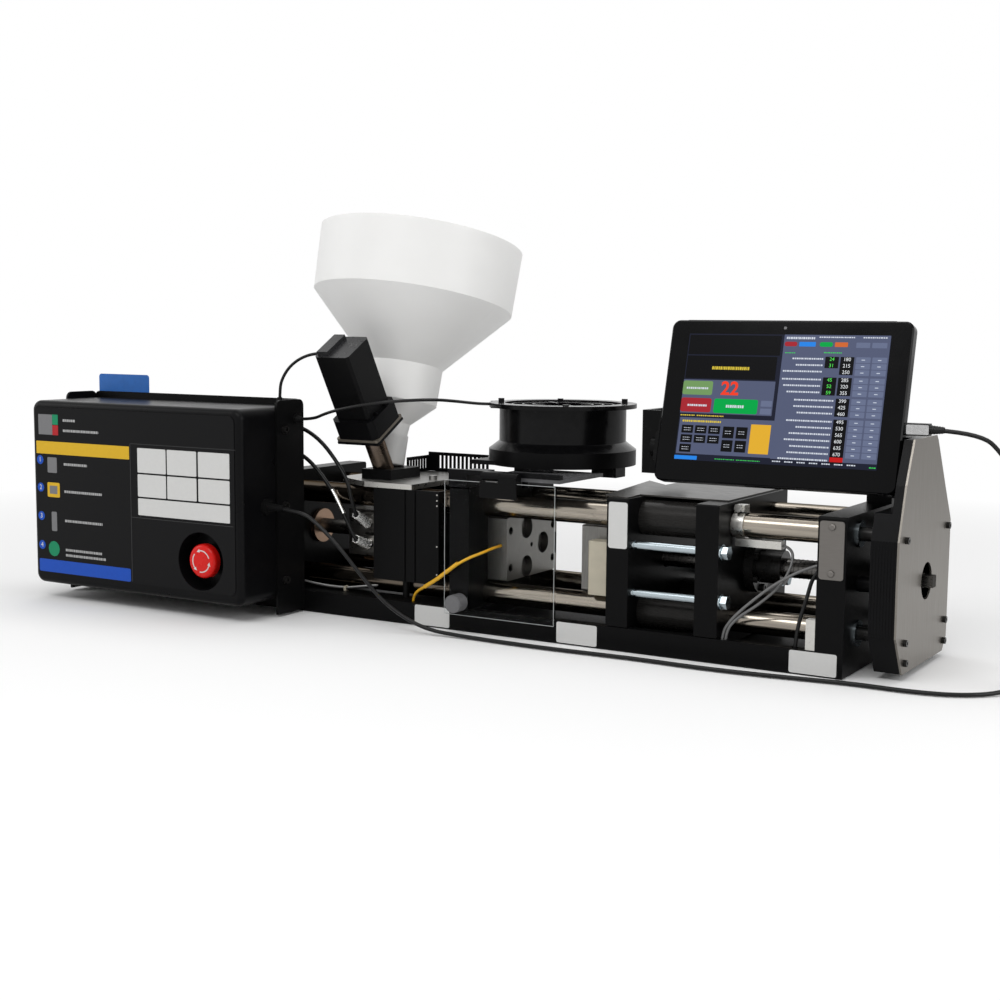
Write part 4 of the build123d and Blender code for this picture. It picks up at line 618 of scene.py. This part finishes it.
def dress_panel():
    fields("panel_grey", GREY, "frame", PANEL, [(-482, -458.2, 204.6, 229.4)])
    fields("panel_green", GREEN, "frame", PANEL, [(-458, -448.4, 217.2, 229.6)])
    fields("panel_red", RED, "frame", PANEL, [(-458, -448.4, 204.4, 216.6)])
    fields("panel_yellow", YELLOW, "frame", PANEL, [(-486.5, -331.2, 181, 196.4)])
    fields("panel_blue", BLUE, "frame", PANEL, [(-486, -332, 34.5, 50.2)], radius=2)
    discs("panel_discs", BLUE, "frame", PANEL, [(STEP_X, z) for z in PANEL_STEPS], 5.6)
    numbers = [(str(n + 1), STEP_X, z) for n, z in enumerate(PANEL_STEPS)]
    numerals("panel_numbers", WHITE, "frame", PANEL @ Matrix.Translation((0, -0.2, 0)), numbers, 8.5)
    lines = [(-440, -419, 221.5, 224.5), (-440, -381, 209, 212), (-440, -401, 168, 171),
             (-440, -377, 134.5, 137.5), (-440, -377, 98.5, 101.5), (-440, -379, 62.5, 65.5),
             (-440, -372, 56, 59)]
    fields("panel_lines", PALE, "frame", PANEL, dashes(lines, (3.4, 2.2, 2.8, 1.6, 3.0), 0.8), radius=0.3)
    frame_lines = [(-330, -329, 35, 200), (-329, -168, 199.6, 200.4), (-329, -172, 112.2, 113)]
    fields("panel_borders", DIM, "frame", PANEL, frame_lines, radius=0.1)
    cells = []
    for x0, x1 in ((-318, -273.5), (-271.5, -226.5), (-223.8, -177)):
        cells.append((x0, x1, 166.5, 195.5))
        cells.append((x0, x1, 138, 164.5))
    cells.append((-318, -177, 116, 136))
    fields("panel_cells", WHITE, "frame", PANEL, cells, radius=1.2)
    fields("panel_pictures", GREY, "frame", PANEL,
           [(-468, -452, 158, 177), (-463, -454, 86, 110)], radius=1.5)
    fields("panel_frame_picture", YELLOW, "frame", PANEL, [(-469, -448, 128, 146)], radius=1.5)
    inside = PANEL @ Matrix.Translation((0, -0.12, 0))
    fields("panel_frame_inside", GREY, "frame", inside, [(-465, -452, 132, 142)])
    discs("panel_go", GREEN, "frame", PANEL, [(-460, 64)], 9.5)


def dress_labels():
    plates = [(1, 48, 1.5, 24.2), (186, 235, 1.5, 24.2), (450, 499, 1.5, 24.2)]
    fields("base_labels", WHITE, "frame", BASE_FACE, plates, 0.2, 2.0)
    fields("platen_label", WHITE, "clamp_carriage", BASE_FACE, [(247, 269, 110, 159)], 0.2, 2.5)
    front = Matrix.Translation((0, SHROUD_FRONT, 0))
    rivets = [(17.8, z) for z in (149, 142.5, 136.5, 89.5, 57)]
    discs("shroud_rivets", BRIGHT_METAL_AND_HIGHLIGHT, "frame", front, rivets, 0.9, 0.5)


# Arrows round the stop button's head
def dress_stop_button():
    shape = bmesh.new()
    steps = 7
    for start in (20, 140, 260):
        inner, outer = [], []
        for step in range(steps + 1):
            angle = math.radians(start + 80 * step / steps)
            for ring, radius in ((inner, 11.9), (outer, 13.2)):
                spot = (ESTOP_X + radius * math.cos(angle), ESTOP_FACE, ESTOP_Z + radius * math.sin(angle))
                ring.append(shape.verts.new(Vector(spot) * MM))
        for step in range(steps):
            shape.faces.new((inner[step], inner[step + 1], outer[step + 1], outer[step]))
        angle = math.radians(start + 80)
        tip = math.radians(start + 100)
        corners = [(10.4, angle), (14.8, angle), (12.6, tip)]
        head = [(ESTOP_X + r * math.cos(a), ESTOP_FACE, ESTOP_Z + r * math.sin(a)) for r, a in corners]
        shape.faces.new([shape.verts.new(Vector(spot) * MM) for spot in head])
    made = bmesh.ops.extrude_face_region(shape, geom=shape.faces[:])
    moved = [item for item in made["geom"] if isinstance(item, bmesh.types.BMVert)]
    bmesh.ops.translate(shape, verts=moved, vec=(0, -0.15 * MM, 0))
    mesh_piece("stop_arrows", shape, WHITE, "estop_button")


# Tablet screen: u runs right and v runs down, both from 0 to 1
def screen_rect(u0, v0, u1, v1):
    x0, x1 = (u0 - 0.5) * SCREEN_W, (u1 - 0.5) * SCREEN_W
    z0, z1 = SCREEN_UP + (0.5 - v1) * SCREEN_H, SCREEN_UP + (0.5 - v0) * SCREEN_H
    return x0, x1, z0, z1


SCREEN_ROWS = 16
ROW_TOP, ROW_PITCH, GROUP_GAP = 0.165, 0.0485, 0.012


def row_span(row, share=0.8):
    gaps = (row > 2) + (row > 5) + (row > 8)
    top = ROW_TOP + row * ROW_PITCH + gaps * GROUP_GAP
    return top, top + ROW_PITCH * share


def screen_fields(name, made, depth, rects, radius=0.5):
    plane = SCREEN @ Matrix.Translation((0, SCREEN_FACE - depth, 0))
    return fields(name, made, "tablet", plane, [screen_rect(*rect) for rect in rects], 0.05, radius)


def dress_screen():
    slate = lit("screen_slate", (0.085, 0.10, 0.17))
    screen_fields("screen_ground", lit("screen_ground", (0.012, 0.014, 0.028)), 0.02, [(0, 0, 1, 1)], 0.2)
    screen_fields("screen_panels", slate, 0.08, [
        (0.005, 0.665, 0.49, 0.95), (0.488, 0.0, 0.998, 0.955), (0.0, 0.365, 0.47, 0.63)])
    screen_fields("screen_status", lit("screen_black", (0.004, 0.004, 0.005)), 0.14,
                  [(0.005, 0.01, 0.475, 0.165), (0.005, 0.175, 0.465, 0.355)]
                  + black_cells() + small_buttons())
    screen_fields("screen_olive", lit("screen_olive", (0.16, 0.30, 0.11)), 0.14,
                  [(0.0, 0.375, 0.155, 0.485)], 2)
    screen_fields("screen_red", lit("screen_red", (0.36, 0.02, 0.03)), 0.14,
                  [(0.0, 0.51, 0.158, 0.62), (0.005 + 0.488, 0.055, 0.555, 0.09)], 2)
    screen_fields("screen_green", lit("screen_green", (0.0, 0.36, 0.06)), 0.14,
                  [(0.172, 0.51, 0.395, 0.622), (0.665, 0.055, 0.728, 0.09)], 2)
    screen_fields("screen_orange", lit("screen_orange", (0.60, 0.13, 0.03)), 0.14,
                  [(0.738, 0.055, 0.80, 0.09)])
    screen_fields("screen_blue", lit("screen_blue", (0.02, 0.22, 0.75)), 0.14,
                  [(0.565, 0.055, 0.645, 0.09), (0.0, 0.965, 0.118, 0.995)])
    screen_fields("screen_amber", lit("screen_amber", (0.72, 0.40, 0.03)), 0.14,
                  [(0.375, 0.70, 0.475, 0.925)])
    screen_fields("screen_keys", lit("screen_keys", (0.13, 0.155, 0.25)), 0.14, key_columns(), 0.6)
    screen_fields("screen_key_marks", lit("screen_marks", (0.55, 0.60, 0.70)), 0.2, key_marks(), 0.1)
    screen_fields("screen_words", lit("screen_words", (0.62, 0.66, 0.74)), 0.2, word_marks(word_bars()), 0.1)
    screen_fields("screen_green_words", lit("screen_green_words", (0.05, 0.55, 0.10)), 0.2, word_marks([
        (0.69, 0.128, 0.775, 0.142), (0.5, 0.135, 0.55, 0.146), (0.21, 0.975, 0.31, 0.985),
        (0.32, 0.975, 0.44, 0.985), (0.965, 0.975, 0.995, 0.99)]), 0.1)
    screen_fields("screen_yellow_words", lit("screen_yellow_words", (0.65, 0.50, 0.05)), 0.2, word_marks([
        (0.14, 0.25, 0.33, 0.29), (0.005, 0.64, 0.08, 0.655), (0.09, 0.64, 0.23, 0.655),
        (0.02, 0.68, 0.22, 0.705)]), 0.1)
    screen_fields("screen_alarm", lit("screen_alarm", (0.5, 0.01, 0.01)), 0.2, [(0.775, 0.92, 0.838, 0.955)])
    plane = SCREEN @ Matrix.Translation((0, SCREEN_FACE - 0.2, 0))
    x0, x1, z0, z1 = screen_rect(0.17, 0.375, 0.30, 0.49)
    red_digits = lit("screen_digits", (0.85, 0.05, 0.02))
    number = [("22", (x0 + x1) / 2 + 2, (z0 + z1) / 2)]
    numerals("screen_number", red_digits, "tablet", plane, number, 20, 0.05, 0.5)
    marks = []
    for row in range(SCREEN_ROWS - 1):
        v0, v1 = row_span(row)
        x0, x1, z0, z1 = screen_rect(0.775, v0, 0.835, v1)
        marks.append((str(180 + 35 * row), (x0 + x1) / 2, (z0 + z1) / 2))
    numerals("screen_values", lit("screen_values", (0.75, 0.78, 0.80)), "tablet", plane, marks, 5.2, 0.05)
    marks = []
    for row in (0, 1, 3, 4, 5):
        v0, v1 = row_span(row)
        x0, x1, z0, z1 = screen_rect(0.705, v0, 0.76, v1)
        marks.append((str(24 + 7 * row), (x0 + x1) / 2, (z0 + z1) / 2))
    numerals("screen_readings", lit("screen_readings", (0.10, 0.80, 0.10)), "tablet", plane, marks, 5.2, 0.05)


def black_cells():
    cells = [(0.70, row_span(0)[0], 0.765, row_span(1)[1]), (0.70, row_span(3)[0], 0.765, row_span(5)[1])]
    for first, last in ((0, 2), (3, 5), (6, 8), (9, 15)):
        cells.append((0.773, row_span(first)[0], 0.838, row_span(last)[1]))
    return cells


def small_buttons():
    places = []
    for row, columns in enumerate((3, 3, 1)):
        top = 0.725 + row * 0.075
        places += [(0.02 + c * 0.07, top, 0.08 + c * 0.07, top + 0.062) for c in range(columns)]
    for row in range(2):
        top = 0.725 + row * 0.105
        places += [(0.235 + c * 0.068, top, 0.292 + c * 0.068, top + 0.09) for c in range(2)]
    return places


def key_columns():
    keys = [(0.84, 0.055, 0.905, 0.095), (0.915, 0.055, 0.985, 0.095),
            (0.41, 0.515, 0.465, 0.56), (0.41, 0.575, 0.465, 0.62)]
    for row in range(SCREEN_ROWS - 1):
        v0, v1 = row_span(row, 0.88)
        keys += [(0.847, v0, 0.915, v1), (0.923, v0, 0.992, v1)]
    return keys


def key_marks():
    marks = []
    for u0, v0, u1, v1 in key_columns()[4:]:
        middle, level = (u0 + u1) / 2, (v0 + v1) / 2
        marks.append((middle - 0.008, level - 0.003, middle + 0.008, level + 0.003))
    return marks


def word_marks(bars):
    lines = [(u0, u1, v0 + 0.2 * (v1 - v0), v1 - 0.2 * (v1 - v0)) for u0, v0, u1, v1 in bars]
    marks = dashes(lines, (0.0085, 0.0060, 0.0100, 0.0070, 0.0085, 0.0040), 0.0028)
    return [(u0, v0, u1, v1) for u0, u1, v0, v1 in marks if u1 - u0 > 0.001]


def word_bars():
    bars = [(0.50, 0.012, 0.64, 0.04), (0.66, 0.01, 0.83, 0.025), (0.87, 0.01, 0.985, 0.025)]
    widths = (0.15, 0.13, 0.19, 0.19, 0.18, 0.16, 0.19, 0.19, 0.17, 0.22, 0.17, 0.20, 0.22, 0.19, 0.20, 0.24)
    for row, width in enumerate(widths):
        v0, v1 = row_span(row, 0.5)
        right = 0.765 if row > 8 else 0.762 if row > 5 else 0.69
        bars.append((right - width, v0 + 0.008, right, v1 + 0.004))
    bars += [(0.02, 0.42, 0.135, 0.445), (0.035, 0.555, 0.135, 0.58), (0.235, 0.55, 0.325, 0.585)]
    bars += [(0.50 + step * 0.06, 0.965, 0.54 + step * 0.06, 0.98) for step in range(7)]
    for u0, v0, u1, v1 in small_buttons():
        bars.append((u0 + 0.012, (v0 + v1) / 2 - 0.012, u1 - 0.012, (v0 + v1) / 2 - 0.006))
        bars.append((u0 + 0.012, (v0 + v1) / 2 + 0.006, u1 - 0.012, (v0 + v1) / 2 + 0.012))
    return bars


def dress_tablet():
    face = SCREEN @ Matrix.Translation((0, -TABLET_T / 2, 0))
    discs("tablet_camera", GREY, "tablet", face, [(-3.0, 79.0)], 1.6, 0.1)
    rim = [(-112, 112, -86.9, -86.2), (-112, 112, 86.2, 86.9)]
    fields("tablet_rim", BLACK_STEEL, "tablet", face, rim, 0.1, 0.1)
    relief = towards((565.5, -35, 244.5), (580, -35, 244.5))
    grow("plug_relief_ribs", RIBS, CABLE_BLACK, "tablet", relief, Count=5, Pitch=0.0026, Radius=0.0046,
         Taper=0.06, Thickness=0.0014)
    shape = bmesh.new()
    side = Matrix.Translation((553.5, -41.0, 244.5))
    add_plate(shape, side, 22.0, 9.5, 0.35, 1.2)
    mesh_piece("plug_shell", shape, PLUG_SILVER, "tablet")


# Guard pane: light grey strips along its polished edges, a painted highlight, and the knob's face
def dress_guard():
    shape = bmesh.new()
    width = 0.5
    middle = (PANE_LEFT + PANE_RIGHT) / 2
    height = (PANE_LOW + PANE_TOP) / 2
    front = Matrix.Translation((0, PANE_FRONT, 0))
    for x in (PANE_LEFT + width / 2, PANE_RIGHT - width / 2):
        add_plate(shape, front @ Matrix.Translation((x, 0, height)), width, PANE_TOP - PANE_LOW, 0.1, 0.1)
    for z in (PANE_LOW + width / 2, PANE_TOP - width / 2):
        add_plate(shape, front @ Matrix.Translation((middle, 0, z)), PANE_RIGHT - PANE_LEFT, width, 0.1, 0.1)
    # Light grey strips on the clear pane's border: painted highlight of light caught in its edges
    edge = finish("pane_edge_highlight", (0.46, 0.48, 0.48), 0.3, 0.0, 200)
    mesh_piece("pane_painted_edge_highlights", shape, edge, "guard_door")
    discs("knob_face", KNOB_GREY, "guard_door", Matrix.Translation((0, -127, 0)), [(71, 36)], 9.2, 0.3)


# Thread of the clamp screw
def dress_threads():
    start = (262.8, 0, AXIS_Z)
    grow("clamp_screw_thread", HELIX, OILED, "clamp_screw", towards(start, (480, 0, AXIS_Z)), smooth=True,
         Radius=0.0100, Top_Radius=0.0100, Length=0.2185, Turns=43.7, Ridge=0.00045)


# Braids at the heater ends
def dress_heater_ends():
    for name, start, end in (("upper", (-101, -71, 118), (-102, -46, 105)),
                             ("lower", (-103.5, -68, 88), (-102, -46, 79.5))):
        place = towards(start, end)
        length = (Vector(end) - Vector(start)).length * MM
        grow("braid_" + name, HELIX, BRAID, "frame", place, smooth=True, Radius=0.0044, Top_Radius=0.0066,
             Length=length, Turns=2.2, Ridge=0.00055, Strands=9, Both_Ways=1.0)


# Flange plate under the feeder motor, and the sleeves of two leads
def dress_feeder():
    shape = bmesh.new()
    turn = Matrix.Rotation(FEEDER_LEAN, 4, "X") @ Matrix.Rotation(-math.pi / 2, 4, "X")
    place = Matrix.Translation(FEEDER_FACE + FEEDER_DOWN * (FLANGE_T - 1.0)) @ turn
    add_plate(shape, place, FLANGE_SIDE + 0.8, FLANGE_SIDE + 0.8, 3.2, 3.0)
    mesh_piece("flange_plate", shape, GASKET, "frame")
    sleeve = [(-137, -70, 145), (-129, -70, 134), (-119, -71, 117.5)]
    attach(smooth_line("lead_sleeve", sleeve, 2.75, BRAID), "frame")
    sleeve = [(62, -102, 77.5), (45, -101.6, 65), (30, -100, 54.5), (15, -97.5, 46)]
    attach(smooth_line("probe_sleeve", sleeve, 2.3, YELLOW_SLEEVE), "frame")


# Thin wires along the base, with their tie
def dress_wires():
    wires = [(-178, -72, 30.8), (-150, -74, 28.4), (-115, -72, 28), (-92, -70, 32), (-72, -68, 34.5)]
    kinds = (("wire_one", 0.0, CABLE_GREY), ("wire_two", 1.5, WHITE), ("wire_three", -1.4, CABLE_BLACK))
    for name, shift, made in kinds:
        points = [(x, y + shift, z + 0.6 * shift) for x, y, z in wires]
        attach(smooth_line(name, points, 0.7, made), "frame")
    shape = bmesh.new()
    add_plate(shape, Matrix.Translation((-115, -69.5, 28)), 3.0, 6.5, 5.4, 0.5)
    mesh_piece("wire_tie", shape, CREAM, "frame")


# Floor, light and world
def add_floor():
    made, nodes, links, shader = shader_of("floor")
    shader.inputs["Roughness"].default_value = 0.9
    shader.inputs["Specular IOR Level"].default_value = 0.1
    shader.inputs["Base Color"].default_value = (0.93, 0.93, 0.93, 1)
    coords = nodes.new("ShaderNodeTexCoord")
    length = nodes.new("ShaderNodeVectorMath")
    length.operation = "LENGTH"
    links.new(coords.outputs["Object"], length.inputs[0])
    far = nodes.new("ShaderNodeMapRange")
    far.inputs["From Min"].default_value = 0.75
    far.inputs["From Max"].default_value = 1.6
    links.new(length.outputs["Value"], far.inputs["Value"])
    rays = nodes.new("ShaderNodeLightPath")
    seen = nodes.new("ShaderNodeMath")
    seen.operation = "MULTIPLY"
    links.new(far.outputs["Result"], seen.inputs[0])
    links.new(rays.outputs["Is Camera Ray"], seen.inputs[1])
    white = nodes.new("ShaderNodeEmission")
    white.inputs["Strength"].default_value = 1.0
    mix = nodes.new("ShaderNodeMixShader")
    links.new(seen.outputs[0], mix.inputs[0])
    links.new(shader.outputs[0], mix.inputs[1])
    links.new(white.outputs[0], mix.inputs[2])
    links.new(mix.outputs[0], nodes["Material Output"].inputs["Surface"])
    mesh = bpy.data.meshes.new("floor")
    reach = 14.0
    corners = [(-reach, -reach, 0), (reach, -reach, 0), (reach, reach, 0), (-reach, reach, 0)]
    mesh.from_pydata(corners, [], [(0, 1, 2, 3)])
    mesh.materials.append(made)
    floor = link(bpy.data.objects.new("floor", mesh))
    floor.location.z = -0.0004


def area_light(name, place, target, size, power):
    data = bpy.data.lights.new(name, "AREA")
    data.shape = "RECTANGLE"
    data.size, data.size_y = size
    data.energy = power
    lamp = link(bpy.data.objects.new(name, data))
    lamp.location = place
    lamp.rotation_euler = (Vector(target) - Vector(place)).to_track_quat("-Z", "Y").to_euler()


def add_lights():
    area_light("key", (0.2, -1.9, 2.0), (0.0, 0, 0.1), (2.0, 0.9), 24)
    area_light("left", (-2.2, -1.2, 1.0), (-0.2, 0, 0.1), (0.9, 1.4), 9)
    area_light("right", (2.4, -0.3, 0.9), (0.3, 0, 0.1), (0.8, 1.4), 13)
    area_light("top", (0.0, 0.5, 2.4), (0.0, 0, 0.1), (2.6, 1.2), 17)


def add_world():
    world = bpy.data.worlds.new("world")
    world.use_nodes = True
    nodes, links = world.node_tree.nodes, world.node_tree.links
    rays = nodes.new("ShaderNodeLightPath")
    highest = nodes.new("ShaderNodeMath")
    highest.operation = "MAXIMUM"
    links.new(rays.outputs["Is Camera Ray"], highest.inputs[0])
    links.new(rays.outputs["Is Transmission Ray"], highest.inputs[1])
    glossy = nodes.new("ShaderNodeMath")
    glossy.operation = "MAXIMUM"
    links.new(highest.outputs[0], glossy.inputs[0])
    links.new(rays.outputs["Is Glossy Ray"], glossy.inputs[1])
    strength = nodes.new("ShaderNodeMapRange")
    strength.inputs["To Min"].default_value = 0.5
    strength.inputs["To Max"].default_value = 1.0
    links.new(glossy.outputs[0], strength.inputs["Value"])
    links.new(strength.outputs["Result"], nodes["Background"].inputs["Strength"])
    nodes["Background"].inputs["Color"].default_value = (1, 1, 1, 1)
    bpy.context.scene.world = world


add_camera()
dress_nodes()
lay_cords()
dress_panel()
dress_labels()
dress_stop_button()
dress_screen()
dress_tablet()
dress_guard()
dress_threads()
dress_heater_ends()
dress_feeder()
dress_wires()
add_floor()
add_lights()
add_world()
bpy.context.scene.view_settings.view_transform = "Standard"
